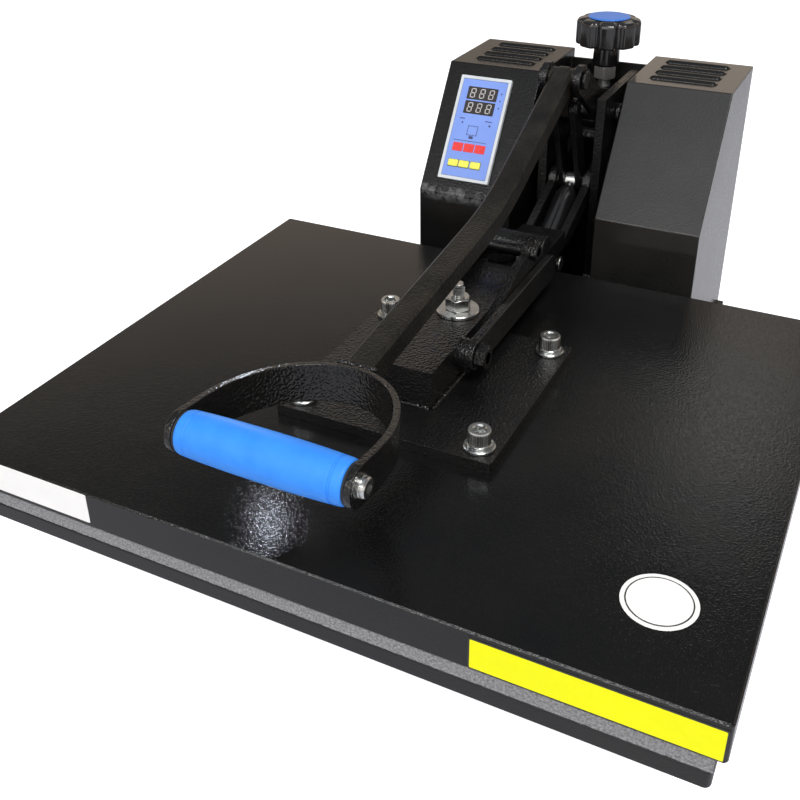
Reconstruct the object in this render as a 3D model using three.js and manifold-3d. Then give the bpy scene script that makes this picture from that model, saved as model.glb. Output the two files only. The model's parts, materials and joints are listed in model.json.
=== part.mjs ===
// Clamshell heat press. Millimetres, +X to the right, +Y to the back, +Z up.
// Heights are measured from the table. Depths are measured from the front edge of the cover,
// or for a value that ends in Setback from its rear edge, with a minus sign in front of that edge.
// A value that ends in Rise is a height above the top of the cover.
// The whole object is moved so that the middle of its footprint is at the origin.
import * as THREE from 'three';
import { mergeVertices } from 'three/addons/utils/BufferGeometryUtils.js';
import Module from 'manifold-3d';

const wasm = await Module();
wasm.setup();

// General values
const cutOverrun = 4;
const slideGap = 0.3;
const turnedGap = 0.3;
const boreClearance = 0.3;
const weldTolerance = 1e-4;
const roundSides = 24;
const smallRoundSides = 16;
const halfShare = 0.5;
const quarterTurn = Math.PI * halfShare;
const halfTurn = Math.PI;
const fullTurn = Math.PI / halfShare;

// Base
const footHeight = 10;
const footRadius = 17;
const footEdge = 2;
const footInset = 20;
const frameHeight = 30;
const frameSheet = 3;
const crossHalfLength = 190;
const crossFrontY = 125;
const crossRearInset = 23.4;
const crossWidth = 40;
const crossSolidEnd = 42;
const railX = 105;
const railWidth = 40;
const basePlateSheet = 6;
const basePlateHalfWidth = 140;
const basePlateFrontSetback = 5.3;
const supportFrontY = 160;
const supportRearSetback = -90.7;
const supportBarHeight = 18;
const supportBarHalfLength = 180;
const supportDepth = 40;
const supportPostWidth = 30;

// Platens and cover
const coverWidth = 520;
const coverDepth = 430.7;
const coverRoom = 10;
const coverSkirt = 26.3;
const coverSheet = 2;
const coverCorner = 3;
const coverEdge = 1.2;
const platenGap = 4;
const heatingBottom = 116;
const heatingThickness = 22;
const bossRadius = 9;
const bossX = 150;
const bossFrontY = 90;
const bossRearSetback = -90.7;
const padThickness = 10;
const lowerPlatenThickness = 13;
const platenCorner = 4;
const platenEdge = 1;

// Mounting plate on the cover
const mountHalfWidth = 81.5;
const mountFrontSetback = -301.1;
const mountRearSetback = -136.5;
const mountThickness = 8;
const mountCorner = 3;
const plateBoltRadius = 5;
const plateBoltX = 67.5;
const plateBoltFrontSetback = -286.7;
const plateBoltRearSetback = -150.7;
const washerRadius = 10.8;
const washerThickness = 2.5;
const springWasherRadius = 8.6;
const springWasherThickness = 2.2;
const boltHeadRadius = 8;
const boltHeadHeight = 10;
const boltHeadEdge = 0.8;
const boltSocketFlats = 8;
const boltSocketDepth = 5;

// Channel block and levelling stud
const channelHalfWidth = 20.5;
const channelFrontSetback = -260.7;
const channelRearSetback = -80.7;
const channelHeight = 29;
const channelWall = 5;
const studSetback = -170.3;
const studRadius = 5;
const studTopRise = 61;
const studEdge = 1;
const studWasherRadius = 16.5;
const studWasherThickness = 3;
const studNutFlats = 17.5;
const studNutHeight = 10;

// Front arm: straps, ribs and their bolts
const ribThickness = 7;
const strapThickness = 6.5;
const strapRadius = 11.5;
const strapFrontSetback = -211.2;
const strapRearSetback = -54.2;
const strapRise = 28.5;
const frontBoltRadius = 5;
const frontBoltHeadFlats = 16;
const frontBoltHeadThickness = 6.4;
const frontBoltNutThickness = 8;
const ribFootRise = 12;
const ribRiseSetback = -181.7;
const ribKneeRise = 28;
const ribMiddleSetback = -145.7;
const ribMiddleRise = 42;
const ribHighSetback = -109.7;
const ribHighRise = 55;
const ribEarSetback = -85.7;
const ribEarRise = 56.5;
const ribEarRadius = 7.5;
const ribRearSetback = -58.7;
const ribRearTopRise = 46;
const ribBoltRadius = 4;
const ribBoltHeadFlats = 13;
const ribBoltHeadThickness = 5.3;

// Rear arm
const armPlateInner = 13;
const armPlateOuter = 20.5;
const armBottomRise = 13;
const armFrontTopRise = 38;
const armShoulderSetback = -36.7;
const armWebFrontSetback = -22.7;
const armWebRearSetback = 22.3;
const armWebBottomRise = 23;
const armWebThickness = 6.5;
const armBellySetback = 34.3;
const crossTubeSetback = -50.7;
const crossTubeRise = 44;
const crossTubeRadius = 11;
const armShaftRoom = 22;
const armShaftRise = 74;
const armShaftRadius = 8;
const armEyeRadius = 13;
const armNeckHalf = 8;
const linkEyeInArm = 12;
const stubRadius = 5.7;
const stubCollarRadius = 8.5;
const stubInnerX = 5.4;
const stubCollarX = 10.8;

// Toggle: lever pivot, upper link pivot and lower link pivot lie on one line when closed
const leverPivotSetback = 52.3;
const leverPivotRise = 159;
const toggleAimSetback = 99.3;
const toggleAimRise = 48;
const leverCrank = 32;
const linkLength = 88;
const linkInner = 5.5;
const linkOuter = 10.5;
const linkEyeRadius = 9;
const linkStubRadius = 6;
const linkStubOuter = 11.6;

// Lever and handle
const leverHalf = 9.5;
const leverEdge = 2.5;
const leverBendSetback = -101;
const leverBendRise = 90.1;
const leverBendRadius = 240;
const leverBendSteps = 6;
const leverFrontY = 100;
const leverFrontRise = 65;
const bushingRadius = 9;
const bushingHalf = 11.7;
const leverPinRadius = 5;
const leverPinHeadRadius = 8;
const leverPinHeadThickness = 3;
const earHalf = 4.5;
const earRootRadius = 10;
const earEyeRadius = 9;
const earStubRadius = 5;
const earStubHalf = 5.2;
const handleY = 2;
const handleRise = 73;
const handleTilt = THREE.MathUtils.degToRad(6.2);
const stripThickness = 4.5;
const stripHeight = 26;
const stripInnerHalf = 55;
const stripInnerDepth = 96;
const stripStraight = 20;
const stripSteps = 14;
const gripRadius = 14.5;
const gripEndRadius = 13.6;
const gripNeckRadius = 13;
const gripGrooveRadius = 12.8;
const gripGrooveX = 46.5;
const gripGrooveHalf = 1.2;
const gripEdge = 1.2;
const gripWasherThickness = 1.5;
const gripWasherRadius = 12.4;
const gripBoltRadius = 4;
const gripBoltHeadRadius = 7.2;
const gripBoltHeadThickness = 4.6;

// Uprights and their shafts
const uprightInner = 22;
const uprightOuter = 30;
const uprightFrontSetback = 84.3;
const uprightFootSetback = 49.3;
const uprightFootZ = 66;
const uprightKneeZ = 110;
const uprightRearRoom = 5;
const uprightTopRise = 134;
const shaftHeadThickness = 4;
const armShaftHeadRadius = 11;
const yokeShaftRadius = 7;
const yokeShaftHeadRadius = 10;
const anvilFrontRoom = 6.5;
const anvilRearRoom = 15;
const anvilTopRise = 84;
const anvilHeight = 16;
const rearWallThickness = 3;
const rearWallInset = 6.4;
const rearWallTopRise = 138;

// Yoke
const yokeInner = 12;
const yokeOuter = 18;
const yokeNoseRadius = 13;
const yokeHalfHeight = 12;
const yokePivotRoom = 54.5;
const yokePivotRise = 109.5;
const yokeEndRoom = 2;
const yokeNutDepth = 24;
const yokeNutHalfHeight = 10;
const yokeNutBoreRadius = 6.9;

// Pressure screw and knob
const screwSetback = 181.3;
const screwRadius = 6;
const screwTipEdge = 1.5;
const collarBottomRise = 127;
const collarTopRise = 140;
const collarFlats = 20;
const hubTopRise = 160;
const hubBottomRadius = 13;
const hubTopRadius = 12.2;
const wheelTopRise = 186;
const wheelRadius = 28.6;
const wheelLobe = 1.9;
const wheelLobes = 8;
const wheelSteps = 72;
const wheelEdge = 2.5;
const capRadius = 20;
const capRecess = 2;
const capProud = 1;
const capEdge = 0.8;

// Gas spring
const springFootSetback = 16.3;
const springFootRise = 0;
const springTubeRadius = 11;
const springEyeHalf = 5;
const springEyeRadius = 9;
const springTubeStart = 12;
const springTubeEnd = 74;
const springShoulderEnd = 84;
const springShoulderRadius = 7;
const springBoreStart = 24;
const springRodRadius = 5;
const springRodStart = 30;
const springRodEyeRadius = 8;
const bracketInner = 12;
const bracketOuter = 17;
const bracketEyeRadius = 9;
const bracketFootFrontSetback = 7.3;
const bracketFootRearSetback = 43.3;
const bracketFootHeight = 6;
const springPinRadius = 5;
const springPinCollarRadius = 7;
const springPinCollarInner = 5.4;
const springPinCollarOuter = 11.6;
const springPinHeadThickness = 3;

// Housing boxes
const boxInnerX = 40.8;
const boxOuterX = 134.4;
const boxFrontSetback = 41.3;
const boxFoldRise = 37.7;
const boxSlantDepth = 70.6;
const boxTopRise = 145.4;
const boxSheet = 2;
const louvreLength = 60;
const louvreWidth = 6;
const louvreX = 86;
const louvreRowShares = [0.217, 0.419, 0.611, 0.814];

// Controller, in the frame of the slanted face of the left box
const bezelX = -91.75;
const bezelWidth = 51.5;
const bezelStart = 13.6;
const bezelLength = 102;
const bezelThickness = 4;
const bezelCorner = 0.8;
const bezelFloor = 1.5;
const pocketWidth = 45.6;
const pocketLength = 96;
const panelWidth = 45;
const panelLength = 95.4;
const panelThickness = 2;
const windowWidth = 30.5;
const windowLength = 12;
const windowDepth = 0.7;
const windowX = -92.25;
const windowStarts = [79, 93];
const keyXs = [-105, -94, -82.3];
const keyWidth = 10;
const keyLength = 6.6;
const keyMiddle = 29.5;
const keyTop = 5.3;
const keyBottom = 3;
const keyGap = 0.4;
const keyCorner = 1;

// Mains inlet with its rocker, in the back of the left box
const inletX = -87;
const inletZ = 120;
const inletWidth = 26;
const inletHeight = 46;
const inletDepth = 20;
const inletFlange = 3;
const inletFlangeThickness = 2.5;
const inletCorner = 2;
const socketWidth = 20;
const socketHeight = 13;
const socketDepth = 15;
const socketDrop = -9;
const inletPinWidth = 2;
const inletPinHeight = 4.6;
const inletPinLength = 11;
const inletPinRoot = 1;
const inletPinXs = [-6, 0, 6];
const rockerRise = 11.5;
const rockerPocketWidth = 19;
const rockerPocketHeight = 14;
const rockerPocketDepth = 8;
const rockerWidth = 18;
const rockerHeight = 11.6;
const rockerDepth = 4.6;
const rockerCrown = 1.4;
const rockerTilt = THREE.MathUtils.degToRad(8);

// Values that follow from those above
const coverTop = heatingBottom + heatingThickness + coverRoom + coverSheet;
const strapZ = coverTop + strapRise;
const ribFootZ = coverTop + ribFootRise;
const ribRiseZ = coverTop + ribKneeRise;
const ribMiddleZ = coverTop + ribMiddleRise;
const ribHighZ = coverTop + ribHighRise;
const ribEarZ = coverTop + ribEarRise;
const ribRearTopZ = coverTop + ribRearTopRise;
const armBottomZ = coverTop + armBottomRise;
const armFrontTopZ = coverTop + armFrontTopRise;
const armWebBottom = coverTop + armWebBottomRise;
const crossTubeZ = coverTop + crossTubeRise;
const armShaftZ = coverTop + armShaftRise;
const leverPivotZ = coverTop + leverPivotRise;
const toggleAimZ = coverTop + toggleAimRise;
const leverBendZ = coverTop + leverBendRise;
const leverFrontZ = coverTop + leverFrontRise;
const handleZ = coverTop + handleRise;
const uprightTopZ = coverTop + uprightTopRise;
const anvilTopZ = coverTop + anvilTopRise;
const rearWallTopZ = coverTop + rearWallTopRise;
const yokePivotZ = coverTop + yokePivotRise;
const collarBottomZ = coverTop + collarBottomRise;
const collarTopZ = coverTop + collarTopRise;
const hubTopZ = coverTop + hubTopRise;
const wheelTopZ = coverTop + wheelTopRise;
const springFootZ = coverTop + springFootRise;
const boxFoldZ = coverTop + boxFoldRise;
const boxTopZ = coverTop + boxTopRise;
const studTop = coverTop + studTopRise;
const basePlateFrontY = coverDepth + basePlateFrontSetback;
const supportRearY = coverDepth + supportRearSetback;
const bossRearY = coverDepth + bossRearSetback;
const mountFrontY = coverDepth + mountFrontSetback;
const mountRearY = coverDepth + mountRearSetback;
const plateBoltFrontY = coverDepth + plateBoltFrontSetback;
const plateBoltRearY = coverDepth + plateBoltRearSetback;
const channelFrontY = coverDepth + channelFrontSetback;
const channelRearY = coverDepth + channelRearSetback;
const studY = coverDepth + studSetback;
const strapFrontY = coverDepth + strapFrontSetback;
const strapRearY = coverDepth + strapRearSetback;
const ribRiseY = coverDepth + ribRiseSetback;
const ribMiddleY = coverDepth + ribMiddleSetback;
const ribHighY = coverDepth + ribHighSetback;
const ribEarY = coverDepth + ribEarSetback;
const ribRearY = coverDepth + ribRearSetback;
const armShoulderY = coverDepth + armShoulderSetback;
const armWebFrontY = coverDepth + armWebFrontSetback;
const armWebRearY = coverDepth + armWebRearSetback;
const armBellyY = coverDepth + armBellySetback;
const crossTubeY = coverDepth + crossTubeSetback;
const leverPivotY = coverDepth + leverPivotSetback;
const toggleAimY = coverDepth + toggleAimSetback;
const leverBendY = coverDepth + leverBendSetback;
const uprightFrontY = coverDepth + uprightFrontSetback;
const uprightFootY = coverDepth + uprightFootSetback;
const screwY = coverDepth + screwSetback;
const armShaftY = screwY - armShaftRoom;
const yokePivotY = screwY - yokePivotRoom;
const yokeEndY = screwY + yokeEndRoom;
const yokeNutFrontY = screwY - yokeNutDepth * halfShare;
const yokeNutRearY = screwY + yokeNutDepth * halfShare;
const anvilFrontY = screwY - anvilFrontRoom;
const anvilRearY = screwY + anvilRearRoom;
const uprightRearY = anvilRearY + uprightRearRoom;
const springFootY = coverDepth + springFootSetback;
const bracketFootFrontY = coverDepth + bracketFootFrontSetback;
const bracketFootRearY = coverDepth + bracketFootRearSetback;
const boxFrontY = coverDepth + boxFrontSetback;
const boxTopFrontY = boxFrontY + boxSlantDepth;
const boxRearY = uprightRearY + rearWallThickness + rearWallInset;
const boxTopDepth = boxRearY - boxTopFrontY;
const crossRearY = boxRearY - crossRearInset;
const faceSlope = Math.atan2(boxTopZ - boxFoldZ, boxSlantDepth);
const footX = crossHalfLength - footInset;
const frameTop = footHeight + frameHeight;
const standTop = frameTop + basePlateSheet;
const lowerPlatenTop = heatingBottom - padThickness;
const lowerPlatenBottom = lowerPlatenTop - lowerPlatenThickness;
const platenInset = coverSheet + platenGap;
const platenHalfWidth = coverWidth * halfShare - platenInset;
const platenFrontY = platenInset;
const platenRearY = coverDepth - platenInset;
const mountTop = coverTop + mountThickness;
const channelTop = mountTop + channelHeight;
const ribOuter = channelHalfWidth + ribThickness;
const strapOuter = ribOuter + strapThickness;
const toggleSlope = Math.atan2(toggleAimZ - leverPivotZ, toggleAimY - leverPivotY);
const upperPivotY = leverPivotY + leverCrank * Math.cos(toggleSlope);
const upperPivotZ = leverPivotZ + leverCrank * Math.sin(toggleSlope);
const lowerPivotY = upperPivotY + linkLength * Math.cos(toggleSlope);
const lowerPivotZ = upperPivotZ + linkLength * Math.sin(toggleSlope);
const springSlope = Math.atan2(lowerPivotZ - springFootZ, lowerPivotY - springFootY);
const springReach = Math.hypot(lowerPivotZ - springFootZ, lowerPivotY - springFootY);
const stripOuterHalf = stripInnerHalf + stripThickness;
const gripHalf = stripInnerHalf - gripWasherThickness;
const objectFrontY = handleY - gripRadius;
const objectRearY = boxRearY + inletFlangeThickness;
const objectMiddleY = (objectFrontY + objectRearY) * halfShare;

// Materials
function material(color, roughness, metalness) {
  return new THREE.MeshStandardMaterial({ color, roughness, metalness });
}
const looks = {
  powderCoat: () => material(0x17181a, 0.5, 0.35),
  darkSteel: () => material(0x2a2a2b, 0.45, 0.6),
  zinc: () => material(0xc4c6c4, 0.28, 1),
  aluminium: () => material(0xa9abad, 0.4, 1),
  silicone: () => material(0x8f9192, 0.85, 0),
  rubber: () => material(0x141414, 0.9, 0),
  blueGrip: () => material(0x3c96f5, 0.6, 0),
  blackPlastic: () => material(0x0e0e10, 0.3, 0),
  bezelPlastic: () => material(0xdfe3ea, 0.4, 0),
  panelFilm: () => material(0x7f8fd0, 0.45, 0),
  yellowKey: () => material(0xe8c63c, 0.5, 0),
};

// Solids
function solid(geometry) {
  const bare = geometry.clone();
  bare.deleteAttribute('normal');
  bare.deleteAttribute('uv');
  const merged = mergeVertices(bare, weldTolerance);
  const vertProperties = new Float32Array(merged.attributes.position.array);
  const triVerts = new Uint32Array(merged.index.array);
  return new wasm.Manifold(new wasm.Mesh({ numProp: 3, vertProperties, triVerts }));
}

function surface(body) {
  const mesh = body.getMesh();
  const geometry = new THREE.BufferGeometry();
  geometry.setAttribute('position', new THREE.BufferAttribute(new Float32Array(mesh.vertProperties), 3));
  geometry.setIndex(new THREE.BufferAttribute(new Uint32Array(mesh.triVerts), 1));
  const flat = geometry.toNonIndexed();
  flat.computeVertexNormals();
  return flat;
}

function join(...geometries) {
  let body = solid(geometries[0]);
  for (const geometry of geometries.slice(1)) {
    body = body.add(solid(geometry));
  }
  return surface(body);
}

function cut(geometry, ...tools) {
  let body = solid(geometry);
  for (const tool of tools) {
    body = body.subtract(solid(tool));
  }
  return surface(body);
}

function clip(geometry, keeper) {
  return surface(solid(geometry).intersect(solid(keeper)));
}

// Shapes
function block(x0, x1, y0, y1, z0, z1) {
  const geometry = new THREE.BoxGeometry(x1 - x0, y1 - y0, z1 - z0);
  geometry.translate((x0 + x1) * halfShare, (y0 + y1) * halfShare, (z0 + z1) * halfShare);
  return geometry;
}

function post(x, y, radius, z0, z1, sides = roundSides) {
  const geometry = new THREE.CylinderGeometry(radius, radius, z1 - z0, sides);
  geometry.rotateX(quarterTurn);
  geometry.translate(x, y, (z0 + z1) * halfShare);
  return geometry;
}

function crossRod(y, z, radius, x0, x1, sides = roundSides) {
  const geometry = new THREE.CylinderGeometry(radius, radius, x1 - x0, sides);
  geometry.rotateZ(quarterTurn);
  geometry.translate((x0 + x1) * halfShare, y, z);
  return geometry;
}

function hexCrossRod(y, z, flats, x0, x1) {
  const radius = flats * halfShare / Math.cos(halfTurn / 6);
  return crossRod(y, z, radius, x0, x1, 6);
}

function hexPost(x, y, flats, z0, z1) {
  const radius = flats * halfShare / Math.cos(halfTurn / 6);
  return post(x, y, radius, z0, z1, 6);
}

function roundedRectangle(width, length, corner) {
  const w = width * halfShare - corner;
  const l = length * halfShare - corner;
  const shape = new THREE.Shape();
  shape.absarc(w, l, corner, 0, quarterTurn);
  shape.absarc(-w, l, corner, quarterTurn, halfTurn);
  shape.absarc(-w, -l, corner, halfTurn, halfTurn + quarterTurn);
  shape.absarc(w, -l, corner, halfTurn + quarterTurn, fullTurn);
  shape.closePath();
  return shape;
}

// A flat plate with rounded corners and eased edges, resting at z0
function plate(width, length, thickness, corner, edge, x, y, z0) {
  const shape = roundedRectangle(width - edge - edge, length - edge - edge, Math.max(corner - edge, edge));
  const geometry = new THREE.ExtrudeGeometry(shape, {
    depth: thickness - edge - edge,
    bevelEnabled: true,
    bevelThickness: edge,
    bevelSize: edge,
    bevelSegments: 1,
    curveSegments: 4,
  });
  geometry.translate(x, y, z0 + edge);
  return geometry;
}

function plainPlate(width, length, thickness, corner, x, y, z0) {
  const geometry = new THREE.ExtrudeGeometry(roundedRectangle(width, length, corner), {
    depth: thickness,
    bevelEnabled: false,
    curveSegments: 4,
  });
  geometry.translate(x, y, z0);
  return geometry;
}

// A side view in (y, z), made solid from x0 to x1, with eased edges when edge is given
const sideBasis = new THREE.Matrix4().makeBasis(
  new THREE.Vector3(0, 1, 0),
  new THREE.Vector3(0, 0, 1),
  new THREE.Vector3(1, 0, 0),
);
function side(shape, x0, x1, edge = 0) {
  const eased = edge > 0;
  const geometry = new THREE.ExtrudeGeometry(shape, {
    depth: x1 - x0 - edge - edge,
    bevelEnabled: eased,
    bevelThickness: edge,
    bevelSize: edge,
    bevelOffset: -edge,
    bevelSegments: 1,
    curveSegments: 7,
  });
  geometry.applyMatrix4(sideBasis);
  geometry.translate(x0 + edge, 0, 0);
  return geometry;
}

function outline(points) {
  return new THREE.Shape(points.map(([y, z]) => new THREE.Vector2(y, z)));
}

// Two circles and their outer tangents
function taperOutline(y0, z0, r0, y1, z1, r1) {
  const slope = Math.atan2(z1 - z0, y1 - y0);
  const reach = Math.hypot(z1 - z0, y1 - y0);
  const spread = Math.acos((r0 - r1) / reach);
  const shape = new THREE.Shape();
  shape.absarc(y1, z1, r1, slope - spread, slope + spread);
  shape.absarc(y0, z0, r0, slope + spread, slope - spread + fullTurn);
  shape.closePath();
  return shape;
}

function turned(profile, sides = roundSides) {
  return new THREE.LatheGeometry(profile.map(([r, h]) => new THREE.Vector2(r, h)), sides);
}

function turnedUp(profile, x, y, sides = roundSides) {
  const geometry = turned(profile, sides);
  geometry.rotateX(quarterTurn);
  geometry.translate(x, y, 0);
  return geometry;
}

// Left and right ends of a piece that is mirrored about the middle
const sideSigns = { left: -1, right: 1 };
function spanOf(sign, inner, outer) {
  return sign > 0 ? [inner, outer] : [-outer, -inner];
}

function named(name, geometry, look) {
  const mesh = new THREE.Mesh(geometry, look());
  mesh.name = name;
  return mesh;
}

const press = new THREE.Group();
press.position.y = -objectMiddleY;

// Base
const footPlaces = {
  rubber_foot_front_left: [-footX, crossFrontY],
  rubber_foot_front_right: [footX, crossFrontY],
  rubber_foot_rear_left: [-footX, crossRearY],
  rubber_foot_rear_right: [footX, crossRearY],
};
for (const [name, [x, y]] of Object.entries(footPlaces)) {
  const foot = turnedUp([
    [0, 0],
    [footRadius - footEdge, 0],
    [footRadius, footEdge],
    [footRadius, footHeight],
    [0, footHeight],
  ], x, y);
  press.add(named(name, foot, looks.rubber));
}

const crossHalfWidth = crossWidth * halfShare;
const railHalfWidth = railWidth * halfShare;
const frameSolids = [];
const frameHollows = [];
for (const y of [crossFrontY, crossRearY]) {
  const hollowHalf = crossHalfLength - crossSolidEnd;
  const y0 = y - crossHalfWidth;
  const y1 = y + crossHalfWidth;
  frameSolids.push(block(-crossHalfLength, crossHalfLength, y0, y1, footHeight, frameTop));
  frameHollows.push(block(
    -hollowHalf,
    hollowHalf,
    y0 + frameSheet,
    y1 - frameSheet,
    footHeight - cutOverrun,
    frameTop - frameSheet,
  ));
}
for (const sign of Object.values(sideSigns)) {
  const x0 = sign * railX - railHalfWidth;
  const x1 = sign * railX + railHalfWidth;
  frameSolids.push(block(x0, x1, crossFrontY, crossRearY, footHeight, frameTop));
  frameHollows.push(block(
    x0 + frameSheet,
    x1 - frameSheet,
    crossFrontY,
    crossRearY,
    footHeight - cutOverrun,
    frameTop - frameSheet,
  ));
}
press.add(named('base_frame', cut(join(...frameSolids), ...frameHollows), looks.powderCoat));

press.add(named('base_plate', block(
  -basePlateHalfWidth,
  basePlateHalfWidth,
  basePlateFrontY,
  boxRearY,
  frameTop,
  standTop,
), looks.powderCoat));

const supportPlaces = { platen_support_front: supportFrontY, platen_support_rear: supportRearY };
for (const [name, y] of Object.entries(supportPlaces)) {
  const halfDepth = supportDepth * halfShare;
  const halfPost = supportPostWidth * halfShare;
  const barBottom = lowerPlatenBottom - supportBarHeight;
  const bar = block(
    -supportBarHalfLength,
    supportBarHalfLength,
    y - halfDepth,
    y + halfDepth,
    barBottom,
    lowerPlatenBottom,
  );
  const posts = Object.values(sideSigns).map((sign) => block(
    sign * railX - halfPost,
    sign * railX + halfPost,
    y - halfPost,
    y + halfPost,
    frameTop,
    lowerPlatenBottom - supportBarHeight * halfShare,
  ));
  press.add(named(name, join(bar, ...posts), looks.powderCoat));
}

const platenLength = platenRearY - platenFrontY;
const platenMiddleY = (platenFrontY + platenRearY) * halfShare;
press.add(named('lower_platen', plate(
  platenHalfWidth / halfShare,
  platenLength,
  lowerPlatenThickness,
  platenCorner,
  platenEdge,
  0,
  platenMiddleY,
  lowerPlatenBottom,
), looks.powderCoat));
press.add(named('silicone_pad', plainPlate(
  platenHalfWidth / halfShare,
  platenLength,
  padThickness,
  platenCorner,
  0,
  platenMiddleY,
  lowerPlatenTop,
), looks.silicone));

// Uprights, anvil, rear wall and shafts
const uprightOutline = outline([
  [uprightFootY, standTop],
  [uprightRearY, standTop],
  [uprightRearY, uprightTopZ],
  [uprightFrontY, uprightTopZ],
  [uprightFrontY, uprightKneeZ],
  [uprightFootY, uprightFootZ],
]);
for (const [where, sign] of Object.entries(sideSigns)) {
  const [x0, x1] = spanOf(sign, uprightInner, uprightOuter);
  const upright = cut(
    side(uprightOutline, x0, x1),
    crossRod(armShaftY, armShaftZ, armShaftRadius + boreClearance, x0 - cutOverrun, x1 + cutOverrun),
    crossRod(yokePivotY, yokePivotZ, yokeShaftRadius + boreClearance, x0 - cutOverrun, x1 + cutOverrun),
  );
  press.add(named(`upright_${where}`, upright, looks.powderCoat));
}
press.add(named('anvil_bar', block(
  -uprightInner,
  uprightInner,
  anvilFrontY,
  anvilRearY,
  anvilTopZ - anvilHeight,
  anvilTopZ,
), looks.darkSteel));
const rearWallHalf = boxInnerX - slideGap;
press.add(named('rear_wall', block(
  -rearWallHalf,
  rearWallHalf,
  uprightRearY,
  uprightRearY + rearWallThickness,
  standTop,
  rearWallTopZ,
), looks.powderCoat));

function headedShaft(y, z, radius, headRadius, reach, headThickness) {
  const headInner = reach + slideGap;
  return join(
    crossRod(y, z, radius, -headInner - headThickness, headInner + headThickness),
    crossRod(y, z, headRadius, headInner, headInner + headThickness),
    crossRod(y, z, headRadius, -headInner - headThickness, -headInner),
  );
}
press.add(named('arm_shaft', headedShaft(
  armShaftY,
  armShaftZ,
  armShaftRadius,
  armShaftHeadRadius,
  uprightOuter,
  shaftHeadThickness,
), looks.darkSteel));
press.add(named('yoke_shaft', headedShaft(
  yokePivotY,
  yokePivotZ,
  yokeShaftRadius,
  yokeShaftHeadRadius,
  uprightOuter,
  shaftHeadThickness,
), looks.darkSteel));

// Gas spring bracket and pin
const bracketPin = [springFootY, springFootZ, springPinRadius + boreClearance];
const bracketSolids = [
  block(
    -bracketOuter,
    bracketOuter,
    bracketFootFrontY,
    bracketFootRearY,
    standTop,
    standTop + bracketFootHeight,
  ),
];
const bracketFootMiddleY = (bracketFootFrontY + bracketFootRearY) * halfShare;
const bracketFootHalf = (bracketFootRearY - bracketFootFrontY) * halfShare;
for (const sign of Object.values(sideSigns)) {
  const [x0, x1] = spanOf(sign, bracketInner, bracketOuter);
  const cheek = side(taperOutline(
    bracketFootMiddleY,
    standTop,
    bracketFootHalf,
    springFootY,
    springFootZ,
    bracketEyeRadius,
  ), x0, x1);
  bracketSolids.push(cheek);
}
const bracketBelow = block(
  -bracketOuter - cutOverrun,
  bracketOuter + cutOverrun,
  bracketFootFrontY - bracketFootHalf,
  bracketFootRearY + bracketFootHalf,
  standTop - bracketFootHalf - cutOverrun,
  standTop,
);
press.add(named('spring_bracket', cut(
  join(...bracketSolids),
  bracketBelow,
  crossRod(...bracketPin, -bracketOuter - cutOverrun, bracketOuter + cutOverrun),
), looks.powderCoat));
const springPinReach = bracketOuter + slideGap + springPinHeadThickness;
const springPinHeadStart = bracketOuter + slideGap;
press.add(named('spring_pin', join(
  crossRod(springFootY, springFootZ, springPinRadius, -springPinReach, springPinReach),
  crossRod(springFootY, springFootZ, springPinCollarRadius, springPinCollarInner, springPinCollarOuter),
  crossRod(springFootY, springFootZ, springPinCollarRadius, -springPinCollarOuter, -springPinCollarInner),
  crossRod(springFootY, springFootZ, springPinCollarRadius, springPinHeadStart, springPinReach),
  crossRod(springFootY, springFootZ, springPinCollarRadius, -springPinReach, -springPinHeadStart),
), looks.zinc));

// Gas spring, in its own frame with +Y along the spring
const spring = new THREE.Group();
spring.position.set(0, springFootY, springFootZ);
spring.rotation.x = springSlope;
function alongSpring(profile) {
  return turned(profile);
}
const springTubeBody = alongSpring([
  [0, springTubeStart],
  [springTubeRadius, springTubeStart],
  [springTubeRadius, springTubeEnd],
  [springShoulderRadius, springShoulderEnd],
  [0, springShoulderEnd],
]);
const springBore = alongSpring([
  [0, springBoreStart],
  [springRodRadius + boreClearance, springBoreStart],
  [springRodRadius + boreClearance, springShoulderEnd + cutOverrun],
  [0, springShoulderEnd + cutOverrun],
]);
const springEyeBar = block(
  -springEyeHalf,
  springEyeHalf,
  0,
  springTubeStart + cutOverrun,
  -springEyeRadius,
  springEyeRadius,
);
spring.add(named('gas_spring_tube', cut(
  join(springTubeBody, springEyeBar, crossRod(0, 0, springEyeRadius, -springEyeHalf, springEyeHalf)),
  springBore,
  crossRod(0, 0, springPinRadius + boreClearance, -springEyeHalf - cutOverrun, springEyeHalf + cutOverrun),
), looks.darkSteel));
const springRodBody = alongSpring([
  [0, springRodStart],
  [springRodRadius, springRodStart],
  [springRodRadius, springReach],
  [0, springReach],
]);
spring.add(named('gas_spring_rod', join(
  springRodBody,
  crossRod(springReach, 0, springRodEyeRadius, -springEyeHalf, springEyeHalf),
), looks.zinc));
press.add(spring);

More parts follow.
